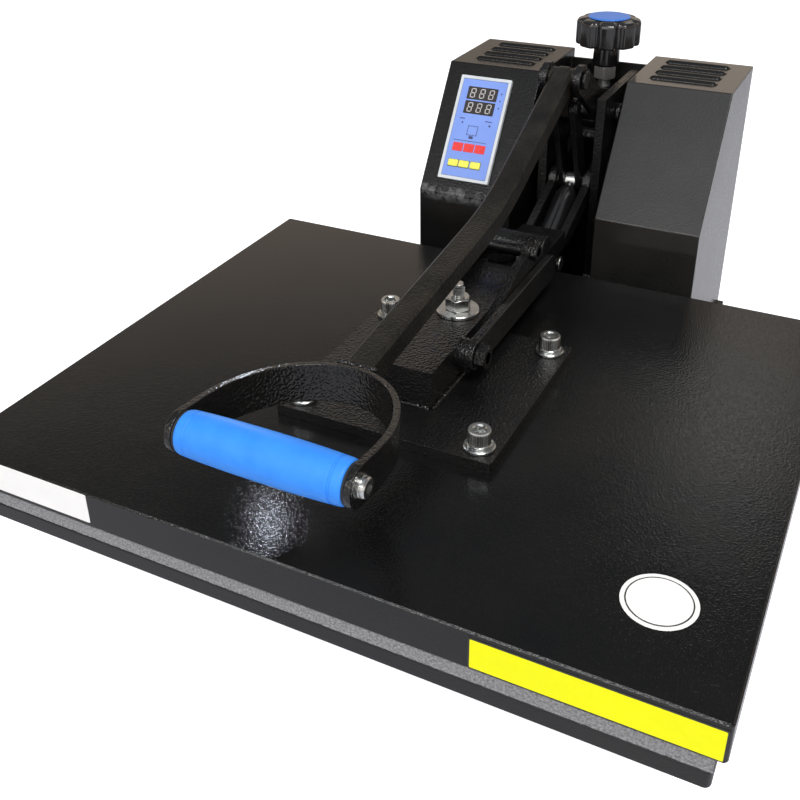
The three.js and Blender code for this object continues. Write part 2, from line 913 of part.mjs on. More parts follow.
// Housing boxes: one folded sheet each, open below
function boxOutline(inset) {
  const slant = Math.tan((halfTurn - faceSlope) * halfShare) * inset;
  const foldTurn = quarterTurn - faceSlope;
  const foldDrop = Math.tan(foldTurn * halfShare) * inset;
  const topTurn = faceSlope;
  const topBack = Math.tan(topTurn * halfShare) * inset;
  const bottom = inset > 0 ? standTop - cutOverrun : standTop;
  return outline([
    [boxFrontY + inset, bottom],
    [boxRearY - inset, bottom],
    [boxRearY - inset, boxTopZ - inset],
    [boxTopFrontY + topBack, boxTopZ - inset],
    [boxFrontY + inset, boxFoldZ - foldDrop],
  ]);
}
const inletOpening = {
  x0: inletX - inletWidth * halfShare - slideGap,
  x1: inletX + inletWidth * halfShare + slideGap,
  z0: inletZ - inletHeight * halfShare - slideGap,
  z1: inletZ + inletHeight * halfShare + slideGap,
};
for (const [where, sign] of Object.entries(sideSigns)) {
  const [x0, x1] = spanOf(sign, boxInnerX, boxOuterX);
  const tools = [side(boxOutline(boxSheet), x0 + boxSheet, x1 - boxSheet)];
  for (const share of louvreRowShares) {
    const y = boxTopFrontY + boxTopDepth * share;
    const halfWidth = louvreWidth * halfShare;
    tools.push(block(
      sign * louvreX - louvreLength * halfShare,
      sign * louvreX + louvreLength * halfShare,
      y - halfWidth,
      y + halfWidth,
      boxTopZ - boxSheet - cutOverrun,
      boxTopZ + cutOverrun,
    ));
  }
  if (sign < 0) {
    tools.push(block(
      inletOpening.x0,
      inletOpening.x1,
      boxRearY - boxSheet - cutOverrun,
      boxRearY + cutOverrun,
      inletOpening.z0,
      inletOpening.z1,
    ));
  }
  press.add(named(`housing_${where}`, cut(side(boxOutline(0), x0, x1), ...tools), looks.powderCoat));
}

// Controller, on the slanted face: X across, Y up the slant, Z out of the face
const faceGroup = new THREE.Group();
faceGroup.position.set(0, boxFrontY, boxFoldZ);
faceGroup.rotation.x = faceSlope;
const bezelMiddle = bezelStart + bezelLength * halfShare;
const bezelBottom = turnedGap;
const pocketBottom = bezelBottom + bezelFloor;
const bezelTop = bezelBottom + bezelThickness;
const panelBottom = pocketBottom + turnedGap;
const panelTop = panelBottom + panelThickness;
const bezel = cut(
  plainPlate(bezelWidth, bezelLength, bezelThickness, bezelCorner, bezelX, bezelMiddle, bezelBottom),
  plainPlate(
    pocketWidth,
    pocketLength,
    bezelThickness + cutOverrun,
    bezelCorner,
    bezelX,
    bezelMiddle,
    pocketBottom,
  ),
);
faceGroup.add(named('controller_bezel', bezel, looks.bezelPlastic));
const panelCuts = windowStarts.map((start) => block(
  windowX - windowWidth * halfShare,
  windowX + windowWidth * halfShare,
  start,
  start + windowLength,
  panelTop - windowDepth,
  panelTop + cutOverrun,
));
for (const x of keyXs) {
  panelCuts.push(block(
    x - keyWidth * halfShare - keyGap,
    x + keyWidth * halfShare + keyGap,
    keyMiddle - keyLength * halfShare - keyGap,
    keyMiddle + keyLength * halfShare + keyGap,
    panelBottom - cutOverrun,
    panelTop + cutOverrun,
  ));
}
const panel = cut(
  plainPlate(panelWidth, panelLength, panelThickness, bezelCorner, bezelX, bezelMiddle, panelBottom),
  ...panelCuts,
);
faceGroup.add(named('controller_panel', panel, looks.panelFilm));
keyXs.forEach((x, index) => {
  const key = plainPlate(keyWidth, keyLength, keyTop - keyBottom, keyCorner, x, keyMiddle, keyBottom);
  faceGroup.add(named(`key_${index + 1}`, key, looks.yellowKey));
});
press.add(faceGroup);

// Mains inlet and rocker
const inletFront = boxRearY + inletFlangeThickness;
const inletBody = join(
  block(
    inletX - inletWidth * halfShare,
    inletX + inletWidth * halfShare,
    boxRearY - inletDepth,
    boxRearY + inletFlangeThickness * halfShare,
    inletZ - inletHeight * halfShare,
    inletZ + inletHeight * halfShare,
  ),
  block(
    inletX - inletWidth * halfShare - inletFlange,
    inletX + inletWidth * halfShare + inletFlange,
    boxRearY,
    inletFront,
    inletZ - inletHeight * halfShare - inletFlange,
    inletZ + inletHeight * halfShare + inletFlange,
  ),
);
const socketZ = inletZ + socketDrop;
const rockerZ = inletZ + rockerRise;
const inletHollow = cut(
  inletBody,
  block(
    inletX - socketWidth * halfShare,
    inletX + socketWidth * halfShare,
    inletFront - socketDepth,
    inletFront + cutOverrun,
    socketZ - socketHeight * halfShare,
    socketZ + socketHeight * halfShare,
  ),
  block(
    inletX - rockerPocketWidth * halfShare,
    inletX + rockerPocketWidth * halfShare,
    inletFront - rockerPocketDepth,
    inletFront + cutOverrun,
    rockerZ - rockerPocketHeight * halfShare,
    rockerZ + rockerPocketHeight * halfShare,
  ),
);
const inletPins = inletPinXs.map((x) => block(
  inletX + x - inletPinWidth * halfShare,
  inletX + x + inletPinWidth * halfShare,
  inletFront - socketDepth - inletPinRoot,
  inletFront - socketDepth + inletPinLength,
  socketZ - inletPinHeight * halfShare,
  socketZ + inletPinHeight * halfShare,
));
press.add(named('mains_inlet', join(inletHollow, ...inletPins), looks.blackPlastic));
const rockerGroup = new THREE.Group();
rockerGroup.position.set(inletX, inletFront, rockerZ);
rockerGroup.rotation.x = -rockerTilt;
const rockerHalf = rockerHeight * halfShare;
const rocker = side(outline([
  [-rockerDepth, -rockerHalf],
  [0, -rockerHalf],
  [-rockerCrown, 0],
  [0, rockerHalf],
  [-rockerDepth, rockerHalf],
]), -rockerWidth * halfShare, rockerWidth * halfShare);
rockerGroup.add(named('rocker', rocker, looks.blackPlastic));
press.add(rockerGroup);

// Yoke
function hollowEye(geometry, y, z, radius, x0, x1) {
  return cut(geometry, crossRod(y, z, radius, x0 - cutOverrun, x1 + cutOverrun));
}
const screwBore = post(
  0,
  screwY,
  yokeNutBoreRadius,
  yokePivotZ - yokeHalfHeight - cutOverrun,
  yokePivotZ + yokeHalfHeight + cutOverrun,
);
const yokeNoseOutline = taperOutline(
  leverPivotY,
  leverPivotZ,
  yokeNoseRadius,
  yokePivotY,
  yokePivotZ,
  yokeHalfHeight,
);
const yokeTailOutline = taperOutline(
  yokePivotY,
  yokePivotZ,
  yokeHalfHeight,
  yokeEndY,
  yokePivotZ,
  yokeHalfHeight,
);
for (const [where, sign] of Object.entries(sideSigns)) {
  const [x0, x1] = spanOf(sign, yokeInner, yokeOuter);
  let cheek = join(side(yokeNoseOutline, x0, x1), side(yokeTailOutline, x0, x1));
  cheek = hollowEye(cheek, leverPivotY, leverPivotZ, leverPinRadius + boreClearance, x0, x1);
  cheek = hollowEye(cheek, yokePivotY, yokePivotZ, yokeShaftRadius + boreClearance, x0, x1);
  press.add(named(`yoke_plate_${where}`, cheek, looks.powderCoat));
}
press.add(named('yoke_nut', cut(
  block(
    -yokeInner,
    yokeInner,
    yokeNutFrontY,
    yokeNutRearY,
    yokePivotZ - yokeNutHalfHeight,
    yokePivotZ + yokeNutHalfHeight,
  ),
  screwBore,
), looks.darkSteel));
press.add(named('lever_pin', headedShaft(
  leverPivotY,
  leverPivotZ,
  leverPinRadius,
  leverPinHeadRadius,
  yokeOuter,
  leverPinHeadThickness,
), looks.darkSteel));

// Pressure screw and knob
const screwRod = turnedUp([
  [0, anvilTopZ],
  [screwRadius - screwTipEdge, anvilTopZ],
  [screwRadius, anvilTopZ + screwTipEdge],
  [screwRadius, collarTopZ],
  [0, collarTopZ],
], 0, screwY);
press.add(named('pressure_screw', join(
  screwRod,
  hexPost(0, screwY, collarFlats, collarBottomZ, collarTopZ),
), looks.zinc));
const lobedPoints = [];
for (let step = 0; step < wheelSteps; step += 1) {
  const angle = fullTurn * step / wheelSteps;
  const radius = wheelRadius - wheelEdge + wheelLobe * Math.cos(wheelLobes * angle);
  lobedPoints.push([radius * Math.cos(angle), radius * Math.sin(angle)]);
}
const wheelBody = new THREE.ExtrudeGeometry(outline(lobedPoints), {
  depth: wheelTopZ - hubTopZ - wheelEdge - wheelEdge,
  bevelEnabled: true,
  bevelThickness: wheelEdge,
  bevelSize: wheelEdge,
  bevelSegments: 2,
});
wheelBody.translate(0, screwY, hubTopZ + wheelEdge);
const hubBody = turnedUp([
  [0, collarTopZ],
  [hubBottomRadius, collarTopZ],
  [hubTopRadius, hubTopZ + cutOverrun],
  [0, hubTopZ + cutOverrun],
], 0, screwY);
press.add(named('knob_wheel', cut(
  join(wheelBody, hubBody),
  post(0, screwY, capRadius + slideGap, wheelTopZ - capRecess, wheelTopZ + cutOverrun),
), looks.blackPlastic));
press.add(named('knob_cap', turnedUp([
  [0, wheelTopZ - capRecess],
  [capRadius, wheelTopZ - capRecess],
  [capRadius, wheelTopZ + capProud - capEdge],
  [capRadius - capEdge, wheelTopZ + capProud],
  [0, wheelTopZ + capProud],
], 0, screwY), looks.blueGrip));

// Handle strip in the frame of the grip: X along the grip, Y towards the lever
function stripPath(offset, reach) {
  const points = [];
  const arcDepth = stripInnerDepth - stripStraight;
  for (let step = 0; step <= stripSteps; step += 1) {
    const turn = quarterTurn * step / stripSteps;
    const x = stripInnerHalf * Math.cos(turn);
    const y = stripStraight + arcDepth * Math.sin(turn);
    points.push(new THREE.Vector2(x, y));
  }
  const moved = points.map((point, index) => {
    const before = points[Math.max(index - 1, 0)];
    const after = points[Math.min(index + 1, points.length - 1)];
    const along = after.clone().sub(before).normalize();
    const out = new THREE.Vector2(along.y, -along.x);
    if (index === 0) {
      out.set(1, 0);
    }
    if (index === points.length - 1) {
      out.set(0, 1);
    }
    return point.clone().addScaledVector(out, offset);
  });
  const right = [new THREE.Vector2(stripInnerHalf + offset, -reach), ...moved];
  const left = right.slice(0, -1).reverse().map((point) => new THREE.Vector2(-point.x, point.y));
  return [...right, ...left];
}
function stripSolid(points, z0, z1) {
  const geometry = new THREE.ExtrudeGeometry(new THREE.Shape(points), { depth: z1 - z0, bevelEnabled: false });
  geometry.translate(0, 0, z0);
  return geometry;
}
const stripHalfHeight = stripHeight * halfShare;
const stripOutside = stripSolid(stripPath(stripThickness, stripHeight), -stripHalfHeight, stripHalfHeight);
const stripInside = stripSolid(
  stripPath(0, stripHeight + cutOverrun),
  -stripHalfHeight - cutOverrun,
  stripHalfHeight + cutOverrun,
);
const stripReach = stripOuterHalf + cutOverrun;
const stripEnds = side(taperOutline(
  0,
  0,
  stripHalfHeight,
  stripInnerDepth + stripHeight,
  0,
  stripHalfHeight,
), -stripReach, stripReach);
const strip = cut(
  clip(cut(stripOutside, stripInside), stripEnds),
  crossRod(0, 0, gripBoltRadius + boreClearance, -stripReach, stripReach, smallRoundSides),
);
const handle = new THREE.Group();
handle.position.set(0, handleY, handleZ);
handle.rotation.x = -handleTilt;
handle.add(named('handle_strip', strip, looks.powderCoat));

function turnedAcross(profile) {
  const geometry = turned(profile);
  geometry.rotateZ(-quarterTurn);
  return geometry;
}
const gripBore = gripBoltRadius + boreClearance;
const grooveIn = gripGrooveX - gripGrooveHalf;
const grooveOut = gripGrooveX + gripGrooveHalf;
const grip = turnedAcross([
  [gripBore, -gripHalf],
  [gripNeckRadius - gripEdge, -gripHalf],
  [gripNeckRadius, -gripHalf + gripEdge],
  [gripEndRadius, -grooveOut],
  [gripGrooveRadius, -gripGrooveX],
  [gripEndRadius, -grooveIn],
  [gripRadius, -grooveIn * halfShare],
  [gripRadius, grooveIn * halfShare],
  [gripEndRadius, grooveIn],
  [gripGrooveRadius, gripGrooveX],
  [gripEndRadius, grooveOut],
  [gripNeckRadius, gripHalf - gripEdge],
  [gripNeckRadius - gripEdge, gripHalf],
  [gripBore, gripHalf],
  [gripBore, -gripHalf],
]);
handle.add(named('grip', grip, looks.blueGrip));
for (const [where, sign] of Object.entries(sideSigns)) {
  const [x0, x1] = spanOf(sign, gripHalf, stripInnerHalf);
  const washer = cut(
    crossRod(0, 0, gripWasherRadius, x0, x1),
    crossRod(0, 0, gripBore, x0 - cutOverrun, x1 + cutOverrun),
  );
  handle.add(named(`grip_washer_${where}`, washer, looks.rubber));
}
handle.add(named('grip_bolt', headedShaft(
  0,
  0,
  gripBoltRadius,
  gripBoltHeadRadius,
  stripOuterHalf - slideGap,
  gripBoltHeadThickness,
), looks.zinc));
press.add(handle);

// Lever bar with its bushing and ear
function barOutline() {
  const lower = new THREE.Vector2(leverBendY - leverFrontY, leverBendZ - leverFrontZ).normalize();
  const upper = new THREE.Vector2(leverPivotY - leverBendY, leverPivotZ - leverBendZ).normalize();
  const lowerAngle = Math.atan2(lower.y, lower.x);
  const bendAngle = Math.atan2(upper.y, upper.x) - lowerAngle;
  const tangent = leverBendRadius * Math.tan(bendAngle * halfShare);
  const bend = new THREE.Vector2(leverBendY, leverBendZ);
  const arcStart = bend.clone().addScaledVector(lower, -tangent);
  const lowerUp = new THREE.Vector2(-lower.y, lower.x);
  const centre = arcStart.clone().addScaledVector(lowerUp, leverBendRadius);
  const top = [new THREE.Vector2(leverFrontY, leverFrontZ).addScaledVector(lowerUp, leverHalf)];
  const bottom = [new THREE.Vector2(leverFrontY, leverFrontZ).addScaledVector(lowerUp, -leverHalf)];
  for (let step = 0; step <= leverBendSteps; step += 1) {
    const angle = lowerAngle + bendAngle * step / leverBendSteps;
    const out = new THREE.Vector2(Math.sin(angle), -Math.cos(angle));
    top.push(centre.clone().addScaledVector(out, leverBendRadius - leverHalf));
    bottom.push(centre.clone().addScaledVector(out, leverBendRadius + leverHalf));
  }
  const upperUp = new THREE.Vector2(-upper.y, upper.x);
  const back = new THREE.Vector2(leverPivotY, leverPivotZ);
  top.push(back.clone().addScaledVector(upperUp, leverHalf));
  bottom.push(back.clone().addScaledVector(upperUp, -leverHalf));
  return new THREE.Shape([...bottom, ...top.reverse()]);
}
const earOutline = taperOutline(
  leverPivotY,
  leverPivotZ,
  earRootRadius,
  upperPivotY,
  upperPivotZ,
  earEyeRadius,
);
const stripEnvelope = stripSolid(
  stripPath(stripThickness + turnedGap, stripHeight),
  -stripHeight,
  stripHeight,
);
stripEnvelope.rotateX(-handleTilt);
stripEnvelope.translate(0, handleY, handleZ);
const leverBar = cut(
  join(
    side(barOutline(), -leverHalf, leverHalf, leverEdge),
    crossRod(leverPivotY, leverPivotZ, bushingRadius, -bushingHalf, bushingHalf),
    side(earOutline, -earHalf, earHalf),
    crossRod(upperPivotY, upperPivotZ, earStubRadius, -earStubHalf, earStubHalf, smallRoundSides),
  ),
  stripEnvelope,
  crossRod(
    leverPivotY,
    leverPivotZ,
    leverPinRadius + boreClearance,
    -bushingHalf - cutOverrun,
    bushingHalf + cutOverrun,
  ),
);
press.add(named('lever_bar', leverBar, looks.powderCoat));

// Toggle links
const linkOutline = taperOutline(
  upperPivotY,
  upperPivotZ,
  linkEyeRadius,
  lowerPivotY,
  lowerPivotZ,
  linkEyeRadius,
);
for (const [where, sign] of Object.entries(sideSigns)) {
  const [x0, x1] = spanOf(sign, linkInner, linkOuter);
  const [stub0, stub1] = spanOf(sign, linkOuter - slideGap, linkStubOuter);
  const link = cut(
    join(
      side(linkOutline, x0, x1),
      crossRod(upperPivotY, upperPivotZ, linkStubRadius, stub0, stub1, smallRoundSides),
    ),
    crossRod(lowerPivotY, lowerPivotZ, stubRadius + boreClearance, x0 - cutOverrun, x1 + cutOverrun),
  );
  press.add(named(`toggle_link_${where}`, link, looks.darkSteel));
}

// Rear arm: two plates, the web, the cross tube and the stubs that carry the links
const armPlateOutline = outline([
  [channelRearY, armBottomZ],
  [armBellyY, armBottomZ],
  [lowerPivotY, lowerPivotZ - linkEyeInArm],
  [lowerPivotY, lowerPivotZ + linkEyeInArm * halfShare],
  [armWebRearY, armWebBottom],
  [armWebFrontY, armWebBottom],
  [armShoulderY, armFrontTopZ],
  [channelRearY, armFrontTopZ],
]);
const armNeckOutline = taperOutline(
  lowerPivotY,
  lowerPivotZ,
  armNeckHalf,
  armShaftY,
  armShaftZ,
  armNeckHalf,
);
const armSolids = [
  block(
    -armPlateOuter,
    armPlateOuter,
    armWebFrontY,
    armWebRearY,
    armWebBottom,
    armWebBottom + armWebThickness,
  ),
  crossRod(crossTubeY, crossTubeZ, crossTubeRadius, -ribOuter, ribOuter),
];
for (const sign of Object.values(sideSigns)) {
  const [x0, x1] = spanOf(sign, armPlateInner, armPlateOuter);
  const [collar0, collar1] = spanOf(sign, stubCollarX, armPlateInner);
  const [stub0, stub1] = spanOf(sign, stubInnerX, armPlateInner);
  armSolids.push(
    side(armPlateOutline, x0, x1),
    side(armNeckOutline, x0, x1),
    crossRod(lowerPivotY, lowerPivotZ, linkEyeInArm, x0, x1),
    crossRod(armShaftY, armShaftZ, armEyeRadius, x0, x1),
    crossRod(lowerPivotY, lowerPivotZ, stubCollarRadius, collar0, collar1),
    crossRod(lowerPivotY, lowerPivotZ, stubRadius, stub0, stub1, smallRoundSides),
  );
}
const rearArm = cut(
  join(...armSolids),
  crossRod(
    armShaftY,
    armShaftZ,
    armShaftRadius + boreClearance,
    -armPlateOuter - cutOverrun,
    armPlateOuter + cutOverrun,
  ),
);
press.add(named('rear_arm', rearArm, looks.powderCoat));

// Front arm: ribs beside the channel, straps outside the ribs
const ribShape = outline([
  [strapFrontY, ribFootZ],
  [ribRearY, ribFootZ],
  [ribRearY, ribRearTopZ],
  [ribEarY, ribEarZ],
  [ribHighY, ribHighZ],
  [ribMiddleY, ribMiddleZ],
  [ribRiseY, ribRiseZ],
  [strapFrontY, ribRiseZ],
]);
for (const [where, sign] of Object.entries(sideSigns)) {
  const [x0, x1] = spanOf(sign, channelHalfWidth, ribOuter);
  const rib = cut(
    join(
      side(ribShape, x0, x1),
      crossRod(ribEarY, ribEarZ, ribEarRadius, x0, x1),
      crossRod(strapFrontY, strapZ, strapRadius - slideGap, x0, x1),
    ),
    crossRod(crossTubeY, crossTubeZ, crossTubeRadius + turnedGap, x0 - cutOverrun, x1 + cutOverrun),
    crossRod(strapFrontY, strapZ, frontBoltRadius + boreClearance, x0 - cutOverrun, x1 + cutOverrun),
    crossRod(ribEarY, ribEarZ, ribBoltRadius + boreClearance, x0 - cutOverrun, x1 + cutOverrun),
  );
  press.add(named(`arm_rib_${where}`, rib, looks.powderCoat));
  const [s0, s1] = spanOf(sign, ribOuter, strapOuter);
  const strap = cut(
    side(taperOutline(strapFrontY, strapZ, strapRadius, strapRearY, strapZ, strapRadius), s0, s1),
    crossRod(strapFrontY, strapZ, frontBoltRadius + boreClearance, s0 - cutOverrun, s1 + cutOverrun),
  );
  press.add(named(`arm_strap_${where}`, strap, looks.powderCoat));
}
const frontBoltReach = strapOuter + frontBoltNutThickness;
press.add(named('front_bolt', join(
  crossRod(strapFrontY, strapZ, frontBoltRadius, -strapOuter - frontBoltHeadThickness, frontBoltReach),
  hexCrossRod(
    strapFrontY,
    strapZ,
    frontBoltHeadFlats,
    -strapOuter - frontBoltHeadThickness,
    -strapOuter,
  ),
  hexCrossRod(strapFrontY, strapZ, frontBoltHeadFlats, strapOuter, frontBoltReach),
), looks.powderCoat));
const ribBoltReach = ribOuter + ribBoltHeadThickness;
press.add(named('rib_bolt', join(
  crossRod(ribEarY, ribEarZ, ribBoltRadius, -ribBoltReach, ribBoltReach, smallRoundSides),
  hexCrossRod(ribEarY, ribEarZ, ribBoltHeadFlats, -ribBoltReach, -ribOuter),
  hexCrossRod(ribEarY, ribEarZ, ribBoltHeadFlats, ribOuter, ribBoltReach),
), looks.powderCoat));

// Channel block with the bores of the stud and of the front bolt
const channel = cut(
  block(-channelHalfWidth, channelHalfWidth, channelFrontY, channelRearY, mountTop, channelTop),
  block(
    -channelHalfWidth + channelWall,
    channelHalfWidth - channelWall,
    channelFrontY + channelWall,
    channelRearY - channelWall,
    mountTop - cutOverrun,
    channelTop - channelWall,
  ),
  post(0, studY, studRadius + boreClearance, mountTop, channelTop + cutOverrun),
  crossRod(
    strapFrontY,
    strapZ,
    frontBoltRadius + boreClearance,
    -channelHalfWidth - cutOverrun,
    channelHalfWidth + cutOverrun,
  ),
);
press.add(named('channel_block', channel, looks.powderCoat));

const nutBottom = channelTop + studWasherThickness;
press.add(named('levelling_stud', join(
  turnedUp([
    [0, mountTop],
    [studRadius, mountTop],
    [studRadius, studTop - studEdge],
    [studRadius - studEdge, studTop],
    [0, studTop],
  ], 0, studY),
  post(0, studY, studWasherRadius, channelTop, nutBottom),
  hexPost(0, studY, studNutFlats, nutBottom, nutBottom + studNutHeight),
), looks.zinc));

// Mounting plate and its bolts
const plateBolts = {
  plate_bolt_front_left: [-plateBoltX, plateBoltFrontY],
  plate_bolt_front_right: [plateBoltX, plateBoltFrontY],
  plate_bolt_rear_left: [-plateBoltX, plateBoltRearY],
  plate_bolt_rear_right: [plateBoltX, plateBoltRearY],
};
const mountingPlate = cut(
  plainPlate(
    mountHalfWidth / halfShare,
    mountRearY - mountFrontY,
    mountThickness,
    mountCorner,
    0,
    (mountFrontY + mountRearY) * halfShare,
    coverTop,
  ),
  ...Object.values(plateBolts).map(([x, y]) => post(
    x,
    y,
    plateBoltRadius + boreClearance,
    coverTop - cutOverrun,
    mountTop + cutOverrun,
    smallRoundSides,
  )),
);
press.add(named('mounting_plate', mountingPlate, looks.powderCoat));
const washerTop = mountTop + washerThickness;
const springWasherTop = washerTop + springWasherThickness;
const boltHeadTop = springWasherTop + boltHeadHeight;
for (const [name, [x, y]] of Object.entries(plateBolts)) {
  const bolt = cut(
    turnedUp([
      [0, coverTop],
      [plateBoltRadius, coverTop],
      [plateBoltRadius, mountTop],
      [washerRadius, mountTop],
      [washerRadius, washerTop],
      [springWasherRadius, washerTop],
      [springWasherRadius, springWasherTop],
      [boltHeadRadius, springWasherTop],
      [boltHeadRadius, boltHeadTop - boltHeadEdge],
      [boltHeadRadius - boltHeadEdge, boltHeadTop],
      [0, boltHeadTop],
    ], x, y),
    hexPost(x, y, boltSocketFlats, boltHeadTop - boltSocketDepth, boltHeadTop + cutOverrun),
  );
  press.add(named(name, bolt, looks.zinc));
}

// Cover and heating platen
const coverBottom = coverTop - coverSkirt;
const coverMiddleY = coverDepth * halfShare;
const coverOuter = cut(
  plate(
    coverWidth,
    coverDepth,
    coverSkirt + cutOverrun,
    coverCorner,
    coverEdge,
    0,
    coverMiddleY,
    coverBottom - cutOverrun,
  ),
  block(-coverWidth, coverWidth, -coverDepth, coverDepth + coverDepth, 0, coverBottom),
);
press.add(named('cover', cut(coverOuter, block(
  -coverWidth * halfShare + coverSheet,
  coverWidth * halfShare - coverSheet,
  coverSheet,
  coverDepth - coverSheet,
  coverBottom - cutOverrun,
  coverTop - coverSheet,
)), looks.powderCoat));
const heatingTop = heatingBottom + heatingThickness;
const heatingSolids = [
  plate(
    platenHalfWidth / halfShare,
    platenLength,
    heatingThickness,
    platenCorner,
    platenEdge,
    0,
    platenMiddleY,
    heatingBottom,
  ),
];
for (const y of [bossFrontY, bossRearY]) {
  for (const sign of Object.values(sideSigns)) {
    heatingSolids.push(post(
      sign * bossX,
      y,
      bossRadius,
      heatingTop - platenEdge - platenEdge,
      coverTop - coverSheet,
      smallRoundSides,
    ));
  }
}
press.add(named('heating_platen', join(...heatingSolids), looks.aluminium));

export default press;
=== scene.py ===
# %% [markdown]
# # A clamshell heat press
# The plain solids of the press come in first. Each solid already stands in its real place and at its real
# size, so nothing is fitted by eye.

# %% Load the solids
import json
import math
import random

import bmesh
import bpy
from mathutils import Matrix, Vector


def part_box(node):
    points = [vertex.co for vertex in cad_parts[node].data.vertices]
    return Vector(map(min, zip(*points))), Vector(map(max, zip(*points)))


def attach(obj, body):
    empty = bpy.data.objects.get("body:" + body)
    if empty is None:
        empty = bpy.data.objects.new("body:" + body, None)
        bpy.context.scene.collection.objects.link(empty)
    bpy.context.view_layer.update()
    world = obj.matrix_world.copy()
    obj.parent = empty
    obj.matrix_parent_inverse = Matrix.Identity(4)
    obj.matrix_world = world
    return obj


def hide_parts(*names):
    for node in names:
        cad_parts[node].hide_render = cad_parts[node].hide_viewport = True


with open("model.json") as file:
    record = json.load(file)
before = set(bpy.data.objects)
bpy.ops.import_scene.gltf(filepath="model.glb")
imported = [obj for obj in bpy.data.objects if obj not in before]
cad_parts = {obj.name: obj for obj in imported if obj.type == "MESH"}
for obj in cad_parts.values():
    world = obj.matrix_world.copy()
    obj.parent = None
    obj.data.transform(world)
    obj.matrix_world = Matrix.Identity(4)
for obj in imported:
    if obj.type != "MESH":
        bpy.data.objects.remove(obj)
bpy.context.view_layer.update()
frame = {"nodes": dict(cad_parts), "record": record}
nodes = frame["nodes"]
bpy.ops.object.select_all(action="DESELECT")

# %% [markdown]
# All places are written in millimetres, measured from the front edge of the cover and from the table,
# as they would be on a drawing. One small function turns them into metres in the frame of the model.
# Points that are nearer to each other than the near value count as one.

# %% Millimetres to the model's frame
MM = 0.001
NEAR = 0.01 * MM
MIDDLE_Y = 315.7


def place(x, y, z):
    return Vector((x, y - MIDDLE_Y, z)) * MM


body_of = {}
for body, members in frame["record"]["behaviour"]["bodies"].items():
    for member in members:
        body_of[member] = body
print("front edge of the cover:", [round(c, 4) for c in place(0, 0, 150)])

# %% [markdown]
# The camera stands a little to the right of the handle and looks down at the press. It could be
# turned until the view looks about right, but here its place, lens and shift were fitted to the edges
# of the cover and the boxes, so that sizes can be compared. The view transform is the plain one, so
# that white stays white and the blue of the grip stays strong.

# %% Camera
camera_data = bpy.data.cameras.new("camera")
camera = bpy.data.objects.new("camera", camera_data)
bpy.context.scene.collection.objects.link(camera)
bpy.context.scene.camera = camera
camera.location = (0.27364, -0.68502, 0.55776)
camera.rotation_euler = [math.radians(angle) for angle in (61.7888, 0.7127, 26.8690)]
camera_data.lens = 46.29
camera_data.shift_x = 0.0022
camera_data.shift_y = -0.115
bpy.context.scene.view_settings.view_transform = "Standard"
print("lens:", round(camera_data.lens, 2), "mm")

# %% [markdown]
# The floor, the room and every finish are networks of shader nodes. One helper adds a node with its
# settings and the values of its inputs, and the other links outputs to inputs.

# %% Helpers for shader nodes


def add_node(tree, kind, inputs=None, **settings):
    node = tree.nodes.new("ShaderNode" + kind)
    for name, value in settings.items():
        setattr(node, name, value)
    for socket, value in (inputs or {}).items():
        node.inputs[socket].default_value = value
    return node


def wire(tree, *links):
    for start, output, end, target in links:
        tree.links.new(start.outputs[output], end.inputs[target])


print("node helpers ready")

# %% [markdown]
# A pale floor and a dim room with one bright side stand in for a photographer's table. Dark gloss
# paint shows mostly what it reflects, so the room matters more than the lamps. It could be one even
# grey, but then every panel would look alike. This room has a warm glow low down, dim grey above
# that, a paler top, and a bright side behind the camera.

# %% Floor and room
bpy.ops.mesh.primitive_plane_add(size=16, location=(0, 0, 0))
floor = bpy.context.object
floor.name = "floor"
floor_paint = bpy.data.materials.new("floor_paint")
floor_paint.use_nodes = True
floor_tree = floor_paint.node_tree
floor_shader = floor_tree.nodes["Principled BSDF"]
floor_shader.inputs["Base Color"].default_value = (0.66, 0.675, 0.73, 1)
floor_shader.inputs["Roughness"].default_value = 0.9
floor_shader.inputs["Emission Color"].default_value = (1, 1, 1, 1)
floor_sight = add_node(floor_tree, "LightPath")
floor_lift = add_node(floor_tree, "Math", {1: 0.85}, operation="MULTIPLY")
wire(floor_tree, (floor_sight, "Is Camera Ray", floor_lift, 0),
     (floor_lift, "Value", floor_shader, "Emission Strength"))
floor.data.materials.append(floor_paint)

world = bpy.data.worlds.new("room")
bpy.context.scene.world = world
world.use_nodes = True
room = world.node_tree
room_back = room.nodes["Background"]
room_place = add_node(room, "TexCoord")
room_axes = add_node(room, "SeparateXYZ")
room_height = add_node(room, "ValToRGB")
ramp = room_height.color_ramp
ramp.elements[0].position = 0.0
ramp.elements[0].color = (0.30, 0.26, 0.21, 1)
ramp.elements[1].position = 1.0
ramp.elements[1].color = (0.42, 0.43, 0.46, 1)
for height, colour in ((0.38, (0.78, 0.66, 0.55, 1)), (0.52, (0.22, 0.22, 0.215, 1)),
                       (0.68, (0.13, 0.14, 0.15, 1))):
    ramp.elements.new(height).color = colour
room_front = add_node(room, "MapRange", {"From Min": 0.25, "From Max": 0.85},
                      interpolation_type="SMOOTHSTEP")
room_flip = add_node(room, "Math", {1: -1}, operation="MULTIPLY")
room_side = add_node(room, "Math", {1: 1.5, 2: 1.25}, operation="MULTIPLY_ADD")
room_glow = add_node(room, "Math", operation="MULTIPLY")
room_mix = add_node(room, "Mix", {"B": (0.95, 0.97, 1.0, 1)}, data_type="RGBA", blend_type="ADD")
room_white = add_node(room, "Background", {"Color": (1, 1, 1, 1)})
room_sight = add_node(room, "LightPath")
room_view = add_node(room, "MixShader")
